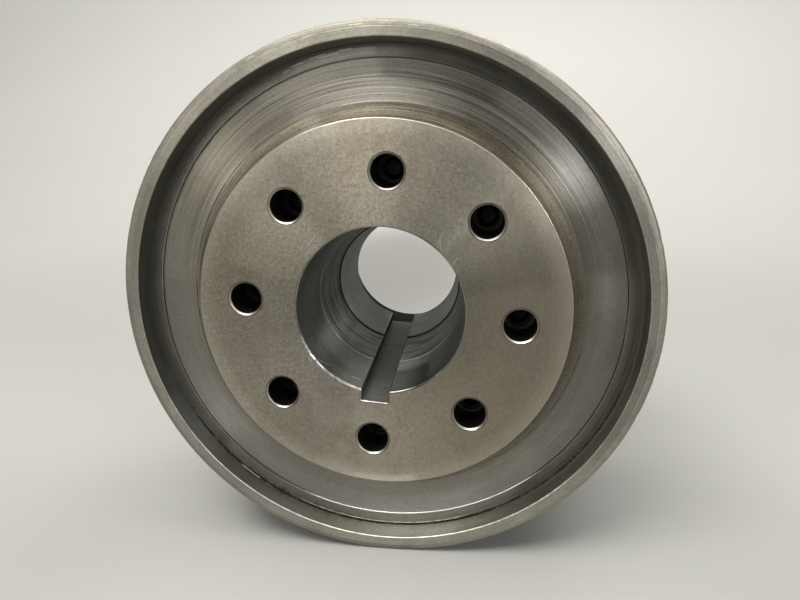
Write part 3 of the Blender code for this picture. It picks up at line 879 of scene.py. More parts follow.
# Fillet round the boss: the brown spot at 28 degrees is a stain, the spots at 132 and 91 degrees are painted light and
# painted shade; the gleam is a lighter brown stretch at 30 degrees.
FILLET = turned_look("fillet_turned_steel", (0.116, 0.104, 0.081), (0.150, 0.138, 0.113), 80.0, 86.0, 0.50,
                     line=1.0, mottle=0.8, anisotropic=0.8, soil=(5.0, 8.5), ridge=0.7, lit=(106.0, 56.0, 92.0), grit=0.56,
                     light_shade_and_stains=((28.0, 34.0, 58.0, 0.7, (0.142, 0.122, 0.087), "r", 70.0, 84.0, 1.3), (132.0, 17.0, 31.0, 0.75, (0.240, 0.218, 0.175)),
                            (91.0, 8.0, 20.0, 0.55, (0.092, 0.082, 0.063))),
                     gleam=((30.0, 32.0, 50.0, 0.5, (0.235, 0.202, 0.147), "r", 70.0, 81.5, 0.7),))
# Near black: painted shade inside the bolt holes.
HOLE_SHADE = turned_look("drilled_hole_shaded_steel", (0.023, 0.021, 0.019), (0.023, 0.021, 0.019), 40.0, 90.0, 0.55,
                   line=0.3, anisotropic=0.0, wear_to=(0.20, 0.182, 0.150))
MOUTH = turned_look("hole_mouth_steel", (0.158, 0.149, 0.128), (0.158, 0.149, 0.128), 40.0, 90.0, 0.48, line=0.2, anisotropic=0.0)
# Front bore: the spots are painted shade at the lower right near the front and painted light on the lower wall further
# in.
BORE = bore_look("front_bore_steel", (0.122, 0.123, 0.114), 1.0, 29.0, strokes=(
    ((-26.2, 3.4, -24.1), (4.34, 2.9, -4.3), 3.6, 0.16), ((-13.2, 7.1, -32.7), (4.45, 0.1, -1.8), 2.6, 0.16)),
    light_shade_and_stains=((285.0, 9.0, 24.0, 0.92, (0.042, 0.043, 0.040), "y", -5.0, 21.0, 5.0),
           (232.0, 14.0, 36.0, 0.8, (0.250, 0.252, 0.234), "y", 14.0, 28.0, 4.0),
           (246.0, 10.0, 26.0, 0.8, (0.240, 0.241, 0.226), "y", 30.0, 60.0, 1.0),
           (284.0, 18.0, 44.0, 0.8, (0.185, 0.186, 0.173), "y", 24.0, 60.0, 8.0)))
KEY = bore_look("keyway_steel", (0.120, 0.121, 0.114), 1.0, 200.0, rough0=0.48, anisotropic=0.4)
# Lip face: the spots are painted light and shade round the way.
LIP = turned_look("rim_lip_iron", (0.226, 0.217, 0.188), (0.226, 0.217, 0.188), 106.0, 114.0, 0.46, line=0.27,
                  anisotropic=0.8, mottle=0.6, lit=(95.0, 50.0, 100.0),
                  light_shade_and_stains=((91.0, 6.0, 20.0, 0.8, (0.185, 0.177, 0.153)), (124.0, 10.0, 26.0, 0.7, (0.310, 0.297, 0.258)),
                         (172.0, 25.0, 48.0, 0.6, (0.275, 0.266, 0.232)), (316.0, 8.0, 18.0, 0.6, (0.285, 0.275, 0.238)),
                         (338.0, 8.0, 20.0, 0.6, (0.165, 0.157, 0.134))))
# Rim bevel: the spots are painted light and shade round the way; the gleam is painted highlights at the upper right and
# top.
BEVEL = turned_look("rim_bevel_iron", (0.192, 0.184, 0.158), (0.192, 0.184, 0.158), 106.0, 114.0, 0.55, line=0.36,
                    anisotropic=0.5, wear_to=(0.46, 0.42, 0.36), mottle=0.7, worn=(0.72, 1.02), lit=(95.0, 50.0, 100.0),
                    worn_at=(55.0, 58.0, 92.0),
                    light_shade_and_stains=((30.0, 8.0, 18.0, 0.6, (0.235, 0.212, 0.180)), (96.0, 8.0, 26.0, 0.7, (0.150, 0.142, 0.121)),
                           (52.0, 12.0, 24.0, 0.65, (0.300, 0.274, 0.234)), (140.0, 20.0, 44.0, 0.75, (0.272, 0.257, 0.220)),
                           (306.0, 18.0, 36.0, 0.65, (0.285, 0.274, 0.236)), (0.0, 10.0, 22.0, 0.6, (0.255, 0.242, 0.208)),
                           (107.0, 6.0, 15.0, 0.5, (0.135, 0.128, 0.110))),
                    chips=((114.7, 113.9, 2.3, 2.2, 0.26), (92.3, 113.6, 2.3, 3.0, 0.26), (81.0, 113.4, 2.3, 2.4, 0.24)),
                    chip_to=(0.44, 0.42, 0.37), chip_square=(0.0, -1.0, 0.0),
                    gleam=((31.0, 15.0, 27.0, 0.6, (0.42, 0.37, 0.325), "r", 113.5, 114.6, 0.35),
                           (92.0, 12.0, 24.0, 0.25, (0.42, 0.40, 0.36), "r", 113.3, 114.7, 0.35)))
# Rim wall: the spots are painted shade over the upper half and at 210 degrees, and painted light low down at the
# bottom; the gleam here is a dark dirt line along its foot at the bottom.
WALL = turned_look("rim_wall_iron", (0.122, 0.117, 0.098), (0.122, 0.117, 0.098), 102.0, 109.0, 0.55, line=0.9,
                   anisotropic=0.94, rust=(242.0, 20.0), mottle=0.8, lit=(104.0, 28.0, 56.0), faint=(95.0, 86.0, 124.0), clean=(264.0, 30.0, 46.0),
                   light_shade_and_stains=((100.0, 95.0, 140.0, 0.75, (0.066, 0.064, 0.054)), (210.0, 6.0, 20.0, 0.6, (0.070, 0.068, 0.058)),
                          (262.0, 24.0, 44.0, 0.6, (0.158, 0.150, 0.126), "y", 5.0, 20.0, 2.0)),
                   chips=((230.7, 108.15, 10.9, 6.2, 0.42), (236.2, 108.25, 10.1, 1.6, 0.5)),
                   gleam=((269.0, 20.0, 31.0, 0.95, (0.014, 0.012, 0.007), "y", 10.5, 12.0, 0.25),))
# Ledge: darker towards the wall, as painted shade. The spots are painted light at the top and bottom and painted shade
# at the upper right and at 210 degrees; the gleam is a painted highlight near the wall at the bottom. The dark rings
# are dirt lines.
LEDGE = turned_look("rim_ledge_iron", (0.150, 0.145, 0.128), (0.086, 0.083, 0.070), 102.0, 108.0, 0.46, line=0.7,
                    anisotropic=0.92, rust=(242.0, 20.0), mottle=0.8, lit=(104.0, 28.0, 56.0),
                    faint=(95.0, 86.0, 124.0), clean=(264.0, 30.0, 46.0),
                    light_shade_and_stains=((99.0, 6.0, 12.0, 0.8, (0.200, 0.194, 0.170), "r", 103.0, 106.4, 0.3), (318.0, 10.0, 28.0, 0.5, (0.128, 0.121, 0.100)),
                           (45.0, 28.0, 46.0, 0.85, (0.066, 0.064, 0.055)),
                           (210.0, 6.0, 20.0, 0.6, (0.075, 0.072, 0.061)), (262.0, 28.0, 48.0, 0.9, (0.205, 0.196, 0.178))),
                    dark_rings=((105.9, 0.34, 0.65, 318.0, 26.0, 46.0), (107.6, 0.45, 0.8, 334.0, 24.0, 46.0)),
                    gleam=((267.0, 15.0, 25.0, 0.9, (0.62, 0.60, 0.53), "r", 107.15, 107.75, 0.15),),
                    chips=((96.0, 106.3, LEDGE_Y, 3.0, 0.22), (102.5, 106.2, LEDGE_Y, 4.0, 0.24), (107.5, 105.7, LEDGE_Y, 3.0, 0.20),
                           (100.0, 105.3, LEDGE_Y, 5.0, 0.17), (110.0, 104.9, LEDGE_Y, 2.2, 0.17)),
                    chip_to=(0.50, 0.48, 0.42), chip_square=(0.0, -1.0, 0.0))
# Step edge: the spots are painted shade at the upper right, lower left and lower right; the gleam is a painted
# highlight along the bottom.
STEP = turned_look("rim_step_iron", (0.200, 0.191, 0.163), (0.200, 0.191, 0.163), 100.0, 104.0, 0.40, line=0.3,
                   anisotropic=0.0, gleam=((278.0, 24.0, 36.0, 1.0, (0.78, 0.765, 0.72)),), broken=0.12,
                   light_shade_and_stains=((45.0, 34.0, 58.0, 0.8, (0.072, 0.069, 0.059)), (208.0, 24.0, 38.0, 0.8, (0.085, 0.081, 0.069)),
                          (328.0, 18.0, 30.0, 0.75, (0.090, 0.086, 0.073))))
# Lip inner edge: the gleam is a painted highlight along the bottom.
LIP_EDGE = turned_look("lip_edge_iron", (0.206, 0.199, 0.164), (0.206, 0.199, 0.164), 106.0, 114.0, 0.42, line=0.3,
                       anisotropic=0.0, gleam=((268.0, 42.0, 62.0, 1.0, (0.44, 0.43, 0.40)),))
# Boss edge: the gleam is a painted highlight along the upper right.
BOSS_EDGE = turned_look("boss_edge_steel", (0.200, 0.182, 0.148), (0.200, 0.182, 0.148), 70.0, 90.0, 0.42, line=0.3,
                        anisotropic=0.0, gleam=((64.0, 34.0, 62.0, 1.0, (0.31, 0.297, 0.270)),))
BELT = turned_look("belt_groove_iron", (0.205, 0.190, 0.165), (0.345, 0.338, 0.315), 98.0, 115.0, 0.34, line=0.4,
                   anisotropic=0.6)
BACK = turned_look("rim_back_iron", (0.24, 0.225, 0.19), (0.30, 0.29, 0.265), 60.0, 110.0, 0.40, line=0.35,
                   anisotropic=0.6)
REAR = turned_look("rear_hub_turned_steel", (0.36, 0.355, 0.34), (0.32, 0.312, 0.295), 45.0, 80.0, 0.34, line=0.35,
                   anisotropic=0.7)
REAR_BORE = bore_look("rear_bore_steel", (0.222, 0.222, 0.218), 1.0, 200.0)
# Near black and dull: painted shade in the recess behind the bore, where the nut sits.
NUT_SHADE = bore_look("nut_recess_painted_shade", (0.020, 0.020, 0.019), 1.0, 200.0, rough0=0.8, anisotropic=0.0, metal=0.0, specular=0.06)
SCREW = screw_look()
WASHER = plain_steel_look("washer_plain_steel", (0.33, 0.325, 0.31), (0.46, 0.455, 0.44), 0.34, 0.006)
DOWEL = plain_steel_look("dowel_ground_steel", (0.44, 0.44, 0.43), (0.55, 0.55, 0.54), 0.24, 0.002)

N = 384


def C(r, y, rad=0.0, **more):
    return dict(r=r, y=y, rad=rad, **more)


# ------------------------------------------------------------------ front hub
def make_front_hub():
    p = Piece("front_hub")
    front, tail = p.chain([
        C(BOSS_R - 3.0, 0.0),
        C(BOSS_R, 0.0, 0.42, wear=0.8, fade=0.4, steps=3, look=5, arc_look=6, knock=knocks(3, 60, (0.12, 0.5), (0.02, 0.22)),
          div=8, ripple=0.008),
        C(BOSS_R, FLOOR_Y, FILLET_R, look=1, arc_look=5, arc_turn=(11, 0.05), turn=(0.95, 0.03)),
        C(93.0, FLOOR_Y, look=1, turn=(0.95, 0.02)),
        C(DISC_EDGE_R, FLOOR_Y, 0.10, wear=0.35, fade=0.4, look=1, steps=2),
        C(DISC_EDGE_R, DISC_BACK, 0.3, look=1, n=96),
        C(CORE_R, DISC_BACK, 0.3, look=1, n=96, grime=0.5),
        C(CORE_R, CORE_BACK, 0.5, look=1, n=96, wear=0.6),
        C(CORE_R - 4.0, CORE_BACK, look=1, n=96)], N)
    root, end = p.chain([
        C(SPIGOT_R + 3.0, CORE_BACK, look=1, n=96),
        C(SPIGOT_R, CORE_BACK, 0.3, look=1, n=96),
        C(SPIGOT_R, SPIGOT_END, 0.6, look=1, n=96, wear=0.6),
        C(SPIGOT_R - 2.0, SPIGOT_END, look=1, n=96)], 96)

    def level(y, grow, wear, knock=None, key_grow=None, grime=0.0):
        return y, dict(r=bore_r(y), low=-KEY_W / 2, high=KEY_W / 2, floor=key_floor(y),
                       grow=grow, wear=wear, knock=knock, key_grow=key_grow, grime=grime)
    rng = random.Random(5)
    few, many = knocks(8, 34, (0.25, 1.1), (0.03, 0.30)), knocks(9, 16, (0.4, 1.6), (0.15, 0.6), (1.95, 2.75))

    def nick(a):
        return np.maximum(few(a), many(a))
    levels = [level(0.0, 0.75, 0.0), level(0.0, 0.28, 0.8, nick), level(0.28, 0.0, 0.8), level(0.8, 0.0, 0.0)]
    levels += [level(y, rng.uniform(-1, 1) * (0.004 if y < 29 else 0.011), 0.0)
               for y in np.arange(3.0, SPIGOT_END - 1.4, 1.15)]
    levels += [level(SPIGOT_END - 1.2, 0.0, 0.0), level(SPIGOT_END - 0.70, 0.0, 0.0),
               level(SPIGOT_END - 0.60, 0.02, 0.0, key_grow=0.0, grime=1.0),
               level(SPIGOT_END, 0.55, 0.0, key_grow=0.03, grime=1.0), level(SPIGOT_END, 1.3, 0.0, grime=1.0)]
    mouth, throat = keyed_bore(p, levels, 2, 3)

    openings, taps = [], []
    for angle in HOLE_ANGLES:
        a, b = drilled(p, station(angle), [
            (MOUTH_R + 0.3, 0.0, 0.0, 0.0), (MOUTH_R, 0.0, 0.9, 0.0), (CBORE_R, 0.65, 0.7, 0.0),
            (CBORE_R, 0.95, 0.0, 0.0), (CBORE_R, 8.0, 0.0, 0.0), (CBORE_R, CBORE_DEPTH - 0.4, 0.0, 0.4),
            (CBORE_R - 0.4, CBORE_DEPTH, 0.0, 0.6), (5.6, CBORE_DEPTH, 0.0, 0.0), (TAP_R + 0.55, CBORE_DEPTH, 0.5, 0.0),
            (TAP_R, CBORE_DEPTH + 0.5, 0.8, 0.0), (TAP_R, CBORE_DEPTH + 1.2, 0.0, 0.3), (TAP_R, CORE_BACK - 0.4, 0.0, 0.0),
            (TAP_R + 0.4, CORE_BACK, 0.3, 0.0)], 64, 4, mouth=7)
        openings.append(a)
        taps.append(b)
    for angle in DOWEL_ANGLES:
        a, b = drilled(p, station(angle), [
            (DOWEL_HOLE_R + 0.3, CORE_BACK, 0.3, 0.0), (DOWEL_HOLE_R, CORE_BACK - 0.3, 0.3, 0.0),
            (DOWEL_HOLE_R, DOWEL_HOLE_Y + 0.1, 0.0, 0.3), (DOWEL_HOLE_R - 0.5, DOWEL_HOLE_Y, 0.0, 0.3)], 32, 4)
        taps.append(a)
        tip = p.add([(station(angle)[0], DOWEL_HOLE_Y, station(angle)[1])])[0]
        p.cap(b, tip, 4, p.group())
    p.fill(front, [mouth] + openings, 0, p.group())
    p.fill(tail, [root] + taps, 1, p.group())
    p.fill(end, [throat], 1, p.group())
    return p.build([FACE, TURNED, BORE, KEY, HOLE_SHADE, FILLET, BOSS_EDGE, MOUTH])


# ------------------------------------------------------------------ grooved rim
def make_rim():
    p = Piece("grooved_rim_fine")
    top_half = GROOVE_PITCH_W / 2 + GROOVE_ABOVE * GROOVE_TAN
    bottom_half = GROOVE_PITCH_W / 2 - GROOVE_BELOW * GROOVE_TAN
    bottom_r = RIM_R - GROOVE_ABOVE - GROOVE_BELOW
    worn = knocks(21, 150, (0.15, 0.9), (0.03, 0.42))
    corners = [
        C(CORE_R + GAP - 3.0, CORE_BACK + GAP, look=3, n=96),
        C(CORE_R + GAP, CORE_BACK + GAP, 0.3, look=3, n=96),
        C(CORE_R + GAP, DISC_BACK + GAP, 0.4, look=3, n=96),
        C(DISC_R + GAP, DISC_BACK + GAP, 0.3, look=3, n=96),
        C(DISC_R + GAP, LEDGE_Y + 3.0, look=5, n=96),
        C(STEP_R, LEDGE_Y + 2.2, look=5),
        C(STEP_R, LEDGE_Y, 0.38, look=4, arc_look=5, wear=0.4, fade=0.3, steps=3, turn=(0.85, 0.02)),
        # A wide grime share at the foot of the wall: dirt in the corner, and painted shade spread from the wall over
        # the ledge.
        C(WALL_FOOT_R, LEDGE_Y, 0.5, look=1, grime=1.0, fade=3.2, steps=4, turn=(1.0, 0.02)),
        C(LIP_IN_R, LIP_Y, 0.45, look=0, arc_look=7, wear=0.6, fade=0.35, steps=3, knock=knocks(13, 70, (0.12, 0.5), (0.02, 0.16)),
          turn=(0.8, 0.012)),
        C(LIP_FLAT_R, LIP_Y, 0.4, look=6, steps=3, wear=1.0, fade=0.35, knock=worn, div=4, ripple=0.01),
        C(114.7, LIP_Y + 0.36, 0.8, look=6, steps=3, wear=0.5, fade=0.5, knock=worn, div=2),
        C(RIM_R, 3.3, 0.7, look=2, steps=3, wear=0.8, fade=0.6, knock=worn, div=10, ripple=0.006)]
    for i in range(GROOVES):
        c = GROOVE_FIRST + i * GROOVE_PITCH
        corners += [
            C(RIM_R, c - top_half, 0.5, look=2, wear=1.0, fade=0.6, knock=knocks(40 + i, 50, (0.15, 0.7), (0.02, 0.25)),
              n=192, div=10, ripple=0.006),
            C(bottom_r, c - bottom_half, 1.2, look=2, grime=0.8, fade=3.0, n=192, steps=3),
            C(bottom_r, c + bottom_half, 1.2, look=2, grime=0.8, fade=3.0, n=192, steps=3, div=10, ripple=0.006),
            C(RIM_R, c + top_half, 0.5, look=2, wear=1.0, fade=0.6, knock=knocks(60 + i, 50, (0.15, 0.7), (0.02, 0.25)),
              n=192)]
    corners += [
        C(RIM_R, RIM_BACK - RIM_CHAMFER, 0.3, look=3, wear=0.9, fade=0.5, n=192),
        C(RIM_R - RIM_CHAMFER, RIM_BACK, 0.3, look=3, wear=0.9, fade=0.5, n=192, div=24, ripple=0.006),
        C(CAVITY_R + RIM_CHAMFER, RIM_BACK, 0.3, look=3, wear=0.8, fade=0.5, n=192),
        C(CAVITY_R, RIM_BACK - RIM_CHAMFER, 0.3, look=3, wear=0.7, fade=0.5, n=192, div=24, ripple=0.010),
        C(CAVITY_R, WEB_BACK, CAVITY_FILLET, look=3, grime=0.7, fade=3.0, n=192, steps=8, arc_ripple=0.01),
        C(CAVITY_R - CAVITY_FILLET - 3.0, WEB_BACK, look=3, n=192)]
    front, back = p.chain(corners, N)
    inner_back, inner_front = p.chain([
        C(SPIGOT_R + GAP + 3.0, WEB_BACK, look=3, n=96), C(SPIGOT_R + GAP, WEB_BACK, 0.4, look=3, n=96),
        C(SPIGOT_R + GAP, CORE_BACK + GAP, 0.4, look=3, n=96), C(SPIGOT_R + GAP + 3.0, CORE_BACK + GAP, look=3, n=96)], 96)
    low, high = [], []
    for angle, r in [(a, CLEAR_R) for a in HOLE_ANGLES] + [(a, DOWEL_HOLE_R) for a in DOWEL_ANGLES]:
        a, b = drilled(p, station(angle), [
            (r + 0.3, CORE_BACK + GAP, 0.3, 0.0), (r, CORE_BACK + GAP + 0.3, 0.3, 0.0),
            (r, WEB_BACK - 0.3, 0.3, 0.0), (r + 0.3, WEB_BACK, 0.3, 0.0)], 32, 3)
        low.append(a)
        high.append(b)
    p.fill(front, [inner_front] + low, 3, p.group())
    p.fill(back, [inner_back] + high, 3, p.group())
    return p.build([LIP, WALL, BELT, BACK, LEDGE, STEP, BEVEL, LIP_EDGE])


# ------------------------------------------------------------------ rear hub
def make_rear_hub():
    p = Piece("rear_hub_fine")
    y0 = WEB_BACK + GAP
    end_y = SPIGOT_END + GAP
    front, back = p.chain([
        C(FLANGE_R - 3.0, y0, n=96), C(FLANGE_R, y0, 0.4, n=96, wear=0.5, div=4),
        C(FLANGE_R, FLANGE_BACK - 1.0, 0.3, n=192, wear=0.8, fade=0.5, knock=knocks(71, 30, (0.2, 0.8), (0.02, 0.2))),
        C(FLANGE_R - 1.0, FLANGE_BACK, 0.3, n=192, wear=0.8, fade=0.5), C(FLANGE_R - 4.0, FLANGE_BACK, n=192)], 192)
    foot, seat = p.chain([
        C(SLEEVE_R + SLEEVE_FILLET + 2.0, FLANGE_BACK, n=192),
        C(SLEEVE_R, FLANGE_BACK, SLEEVE_FILLET, n=192, steps=8, grime=0.5, fade=1.5, arc_ripple=0.01, div=20, ripple=0.008),
        C(SLEEVE_R, HUB_BACK - HUB_CHAMFER, 0.3, n=192, wear=0.9, fade=0.5),
        C(SLEEVE_R - HUB_CHAMFER, HUB_BACK, 0.3, n=192, wear=0.9, fade=0.5, knock=knocks(73, 30, (0.3, 1.0), (0.02, 0.2)),
          div=12, ripple=0.006),
        C(NUT_BORE_R + 0.7, HUB_BACK, 0.2, n=192, wear=0.8, fade=0.5),
        C(NUT_BORE_R, HUB_BACK - 0.7, 0.2, n=192, look=2, wear=0.6, fade=0.5, div=14, ripple=0.008),
        C(NUT_BORE_R, TAPER_END, look=2, n=192)], 192)
    ledge, skirt = p.chain([
        C(SPIGOT_R + GAP - 3.0, end_y, n=96), C(SPIGOT_R + GAP, end_y, 0.3, n=96, grime=0.5),
        C(SPIGOT_R + GAP, y0, 0.3, n=96), C(SPIGOT_R + GAP + 3.0, y0, n=96)], 96)

    def level(y, grow, wear, key_grow=None, grime=0.0):
        return y, dict(r=bore_r(y) - REAR_STEP, low=-KEY_W / 2, high=KEY_W / 2,
                       floor=key_floor(y), grow=grow, wear=wear, key_grow=key_grow, grime=grime)
    rng = random.Random(9)
    levels = [level(end_y, 1.3, 0.0, grime=1.0), level(end_y, 0.45, 0.0, key_grow=0.03, grime=1.0),
              level(end_y + 0.45, 0.01, 0.0, key_grow=0.0, grime=1.0), level(end_y + 0.55, 0.0, 0.0),
              level(end_y + 1.2, 0.0, 0.0)]
    levels += [level(y, rng.uniform(-1, 1) * 0.005, 0.0) for y in np.arange(end_y + 2.5, TAPER_END - 1.2, 1.4)]
    levels += [level(TAPER_END - 0.8, 0.0, 0.0), level(TAPER_END - 0.06, 0.0, 0.7), level(TAPER_END, 0.06, 0.7)]
    mouth, throat = keyed_bore(p, levels, 1, 3)
    low, high = [], []
    for angle, r in [(a, CLEAR_R) for a in HOLE_ANGLES] + [(a, DOWEL_HOLE_R) for a in DOWEL_ANGLES]:
        a, b = drilled(p, station(angle), [
            (r + 0.3, y0, 0.3, 0.0), (r, y0 + 0.3, 0.3, 0.0), (r, FLANGE_BACK - 0.3, 0.6, 0.0),
            (r + 0.3, FLANGE_BACK, 0.8, 0.0), (r + 0.9, FLANGE_BACK, 0.0, 0.0)], 32, 0)
        low.append(a)
        high.append(b)
    p.fill(front, [skirt] + low, 0, p.group())
    p.fill(back, [foot] + high, 0, p.group())
    p.fill(ledge, [mouth], 0, p.group())
    p.fill(seat, [throat], 1, p.group())
    return p.build([REAR, REAR_BORE, NUT_SHADE, KEY])


# ------------------------------------------------------------------ fasteners
WASHER_Y = FLANGE_BACK + GAP
SEAT_Y = WASHER_Y + WASHER_T + GAP


def make_screw(index, angle):
    p, at, n = Piece("socket_screw_%d" % (index + 1)), station(angle), 96
    spin = angle + 0.37 * (index + 1)

    def hexagon(a):
        return SOCKET_AF / 2 / np.cos((a - spin + math.pi / 6) % (math.pi / 3) - math.pi / 6)

    def knurl(a):
        return HEAD_R - 0.16 * (np.arange(n) % 2)
    top = SEAT_Y + HEAD_H
    rows = [  # radius, depth, wear, new smoothing group
        (SCREW_R + 0.3, SEAT_Y, 0.0, 1), (HEAD_R - 0.35, SEAT_Y, 0.3, 1), (HEAD_R - 0.12, SEAT_Y + 0.3, 0.5, 1),
        (HEAD_R - 0.12, SEAT_Y + 0.8, 0.2, 1), (knurl, SEAT_Y + 1.0, 0.5, 1), (knurl, SEAT_Y + 4.0, 0.25, 1),
        (knurl, top - 1.2, 0.5, 1), (HEAD_R - 0.10, top - 0.95, 0.3, 1), (HEAD_R - 0.12, top - 0.65, 0.6, 1),
        (HEAD_R - 0.28, top - 0.25, 0.9, 0), (HEAD_R - 0.62, top, 0.8, 0), (HEAD_R - 1.1, top, 0.0, 1),
        (4.2, top, 0.0, 0), (3.72, top, 0.6, 0), (hexagon, top - 0.28, 0.7, 1), (hexagon, top - 0.8, 0.1, 1),
        (hexagon, top - SOCKET_DEPTH + 0.3, 0.0, 0), (2.75, top - SOCKET_DEPTH, 0.0, 1), (1.3, top - SOCKET_DEPTH - 0.35, 0.0, 0)]
    first = last = None
    group = p.group()
    for r, y, wear, fresh in rows:
        ring = p.ring(r, y, n, wear, at=at)
        if fresh:
            group = p.group()
        if last is None:
            first = ring
        else:
            p.strip(last, ring, 0, group)
        last = ring
    p.cap(last, p.add([(at[0], top - SOCKET_DEPTH - 0.7, at[1])])[0], 0, group)
    # shank, then a rolled thread up to the chamfered tip
    m, tip = 32, SEAT_Y - SCREW_L
    last, group = first, p.group()
    for r, y in ((SCREW_R + 0.08, SEAT_Y - 0.3), (SCREW_R, SEAT_Y - 0.8), (SCREW_R, tip + 24.0)):
        ring = p.ring(r, y, m, 0.0, at=at)
        p.strip(last, ring, 0, group)
        last = ring
    group = p.group()
    y = tip + 23.2
    while y > tip + 0.02:
        edge = min(1.0, (tip + 23.2 - y) / 1.2)
        end = max(0.0, 1.0 - (y - tip) / 1.0)

        def thread(a, y=y, edge=edge, end=end):
            phase = (a / TAU + y / PITCH) % 1.0
            height = np.clip(np.abs(phase - 0.5) * 2.6 - 0.15, 0.0, 1.0)
            return np.minimum(SCREW_R - 0.70 * edge * height, SCREW_R - 0.85 * end)
        ring = p.ring(thread, y, m, 0.35, at=at)
        p.strip(last, ring, 0, group)
        last = ring
        y -= PITCH / 6
    ring = p.ring(SCREW_R - 0.95, tip, m, 0.3, at=at)
    p.strip(last, ring, 0, p.group())
    inner = p.ring(SCREW_R - 1.35, tip, m, 0.0, at=at)
    group = p.group()
    p.strip(ring, inner, 0, group)
    p.cap(inner, p.add([(at[0], tip, at[1])])[0], 0, group)
    return p.build([SCREW])


def closed_turning(name, at, rows, n, look):
    """A small ring turned about its own axis from a closed row of (r, y, wear)."""
    p = Piece(name)
    rings = [p.ring(r, y, n, wear, at=at) for r, y, wear in rows]
    for k, ring in enumerate(rings):
        p.strip(ring, rings[(k + 1) % len(rings)], 0, p.group())
    return p.build([look])


def make_washer(index, angle):
    a, b = WASHER_Y, WASHER_Y + WASHER_T
    rows = [(WASHER_IN_R, a + 0.12, 0.2), (WASHER_IN_R + 0.12, a, 0.2), (WASHER_R - 0.15, a, 0.2), (WASHER_R, a + 0.15, 0.3),
            (WASHER_R, b - 0.35, 0.4), (WASHER_R - 0.1, b - 0.12, 0.9), (WASHER_R - 0.34, b, 0.8), (WASHER_R - 0.8, b, 0.0),
            (WASHER_IN_R + 0.9, b, 0.0), (WASHER_IN_R + 0.3, b, 0.6), (WASHER_IN_R + 0.08, b - 0.1, 0.7), (WASHER_IN_R, b - 0.3, 0.2)]
    return closed_turning("plain_washer_%d" % (index + 1), station(angle), rows, 64, WASHER)


def make_dowel(index, angle):
    p, at, n = Piece("ground_dowel_%d" % (index + 1)), station(angle), 48
    y0 = DOWEL_HOLE_Y + GAP
    y1 = y0 + DOWEL_L
    rows = [(2.0, y0 + 0.05, 0.0), (3.3, y0 + 0.12, 0.3), (3.85, y0 + 0.5, 0.6), (DOWEL_R, y0 + 0.9, 0.3), (DOWEL_R, y0 + 12, 0.0),
            (DOWEL_R, y1 - 0.9, 0.2), (3.85, y1 - 0.45, 0.8), (3.4, y1 - 0.16, 0.9), (2.6, y1 - 0.06, 0.2), (1.2, y1 - 0.01, 0.0)]
    rings = [p.ring(r, y, n, wear, at=at) for r, y, wear in rows]
    group = p.group()
    for a, b in zip(rings, rings[1:]):
        p.strip(a, b, 0, group)
    p.cap(rings[0], p.add([(at[0], y0, at[1])])[0], 0, group)
    p.cap(rings[-1], p.add([(at[0], y1, at[1])])[0], 0, group)
    return p.build([DOWEL])


def fit(piece, node):
    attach(piece, "root")
    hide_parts(node)


fit(make_front_hub(), "hub_flange")
fit(make_rim(), "grooved_rim")
fit(make_rear_hub(), "rear_hub")
for i, angle in enumerate(HOLE_ANGLES):
    fit(make_screw(i, angle), "cap_screw_%d" % (i + 1))
    fit(make_washer(i, angle), "washer_%d" % (i + 1))
for i, angle in enumerate(DOWEL_ANGLES):
    fit(make_dowel(i, angle), "dowel_pin_%d" % (i + 1))


# ------------------------------------------------------------------ stage and light
FLOOR_Z = CAD_LOW.z


def stage_look(name, colour, rough):
    """A pale floor, a little darker behind the object as a painted shadow, and darker to each side in front as painted
    shade.
    """
    k = Look(name, metallic=0.0, roughness=rough)
    cloud, grain = k.noise(3.0, 3, 0.5), k.noise(700, 2, 0.5)
    base = k.mix(k.y.ramp(0.20, 1.15), colour, tuple(c * 1.6 for c in colour))
    # Painted shadow: a soft darker patch behind the object.
    a, b = (k.x + 0.10) / 0.20, (k.y - 0.62) / 0.46
    shade = 1.0 - (a * a + b * b).ramp(1.0, 0.0) * 0.46
    # Painted shade: darker to each side in front of the object.
    shade = shade - k.x.abs().ramp(0.07, 0.17) * k.y.ramp(0.12, -0.03) * 0.13
    base = k.tone(base, shade * (0.96 + cloud * 0.04 + grain * 0.03))
    return k.finish(base)


def make_stage():
    """A pale floor that turns up into a backdrop well behind the object."""
    mesh = bpy.data.meshes.new("stage")
    bm = bmesh.new()
    rows = [(-3.0, 0.0), (-1.0, 0.0), (0.0, 0.0), (1.0, 0.0)]
    rows += [(1.0 + 0.6 * math.sin(t), 0.6 - 0.6 * math.cos(t))
             for t in (math.pi / 2 * k / 12 for k in range(1, 13))]
    rows.append((1.6, 3.0))
    lines = []
    for y, up in rows:
        lines.append([bm.verts.new((x, y, FLOOR_Z + up)) for x in np.linspace(-3.0, 3.0, 13)])
    for a, b in zip(lines, lines[1:]):
        for k in range(len(a) - 1):
            face = bm.faces.new((a[k], a[k + 1], b[k + 1], b[k]))
            face.smooth = True
    bm.to_mesh(mesh)
    bm.free()
    mesh.materials.append(stage_look("pale_floor", (0.26, 0.259, 0.249), 0.55))
    obj = bpy.data.objects.new("stage", mesh)
    bpy.context.scene.collection.objects.link(obj)


make_stage()


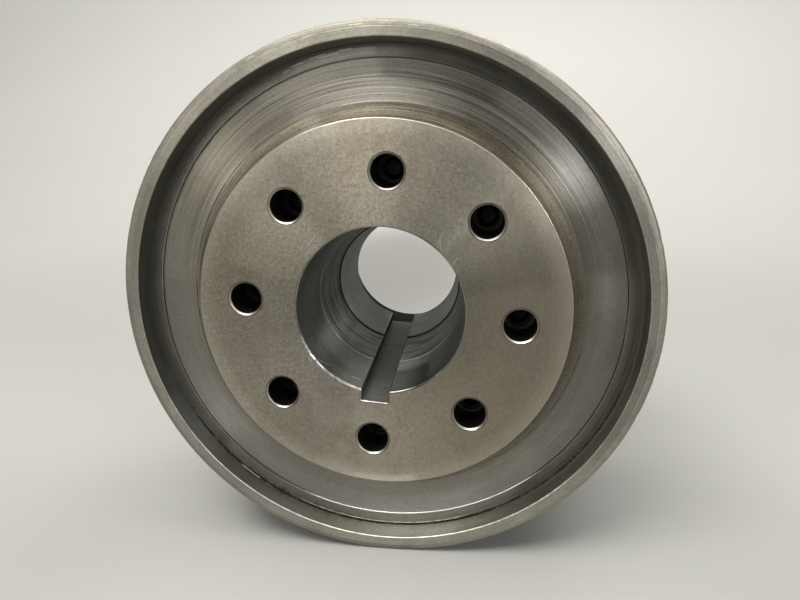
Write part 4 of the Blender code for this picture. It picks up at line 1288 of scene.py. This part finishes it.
def area(name, at, to, size, power, colour=(1.0, 1.0, 1.0), roll=0.0):
    lamp = bpy.data.lights.new(name, "AREA")
    lamp.shape, lamp.size, lamp.size_y = "RECTANGLE", size[0], size[1]
    lamp.energy, lamp.color = power, colour
    obj = bpy.data.objects.new(name, lamp)
    obj.location = at
    aim = (Vector(to) - Vector(at)).to_track_quat("-Z", "Y")
    obj.rotation_euler = (aim @ Quaternion((0.0, 0.0, 1.0), math.radians(roll))).to_euler()
    bpy.context.scene.collection.objects.link(obj)
    return obj


WARM = (1.0, 0.985, 0.93)
area("ceiling", (0.1, -0.25, 1.9), (0.05, -0.10, 0.0), (2.6, 1.6), 75.0, WARM)
area("key_softbox", (-0.42, -1.44, 0.55), (0.0, 0.0, 0.0), (0.7, 0.4), 4.5, WARM)
area("top_softbox", (-0.45, -0.62, 1.30), (0.0, 0.0, 0.0), (0.9, 0.5), 20.0, WARM)
area("right_softbox", (1.08, -1.29, 0.50), (0.0, 0.0, 0.0), (0.7, 0.10), 12.0, (0.97, 0.99, 1.0), roll=28.0)
area("left_softbox", (-1.04, -1.42, 0.26), (0.0, 0.0, 0.0), (0.6, 0.16), 3.2, (1.0, 0.95, 0.86), roll=-34.0)
area("backdrop_light", (-0.85, 0.75, 1.6), (-0.85, 1.7, 0.3), (3.6, 0.4), 16.5, WARM)

world = bpy.data.worlds.new("studio")
world.use_nodes = True
world.node_tree.nodes["Background"].inputs["Color"].default_value = (1.0, 0.99, 0.96, 1.0)
world.node_tree.nodes["Background"].inputs["Strength"].default_value = 0.30
bpy.context.scene.world = world

# ------------------------------------------------------------------ camera
R = 0.1155
eye = Vector((0.4206, -2.1782, 0.6539)) * R
right, up = Vector((0.9886, 0.1461, -0.0359)), Vector((0.0, 0.2384, 0.9712))
forward = Vector((-0.1505, 0.9601, -0.2357))
camera = bpy.data.cameras.new("photo_view")
camera.sensor_width, camera.sensor_fit = 36.0, "HORIZONTAL"
camera.lens = 637.8 / 800 * 36.0
camera.shift_x, camera.shift_y = 0.0005, -0.0248
camera.clip_start, camera.clip_end = 0.01, 50.0
camera_obj = bpy.data.objects.new("photo_view", camera)
camera_obj.matrix_world = Matrix((
    (right.x, up.x, -forward.x, eye.x), (right.y, up.y, -forward.y, eye.y),
    (right.z, up.z, -forward.z, eye.z), (0, 0, 0, 1)))
bpy.context.scene.collection.objects.link(camera_obj)
bpy.context.scene.camera = camera_obj
bpy.context.scene.view_settings.view_transform = "Standard"
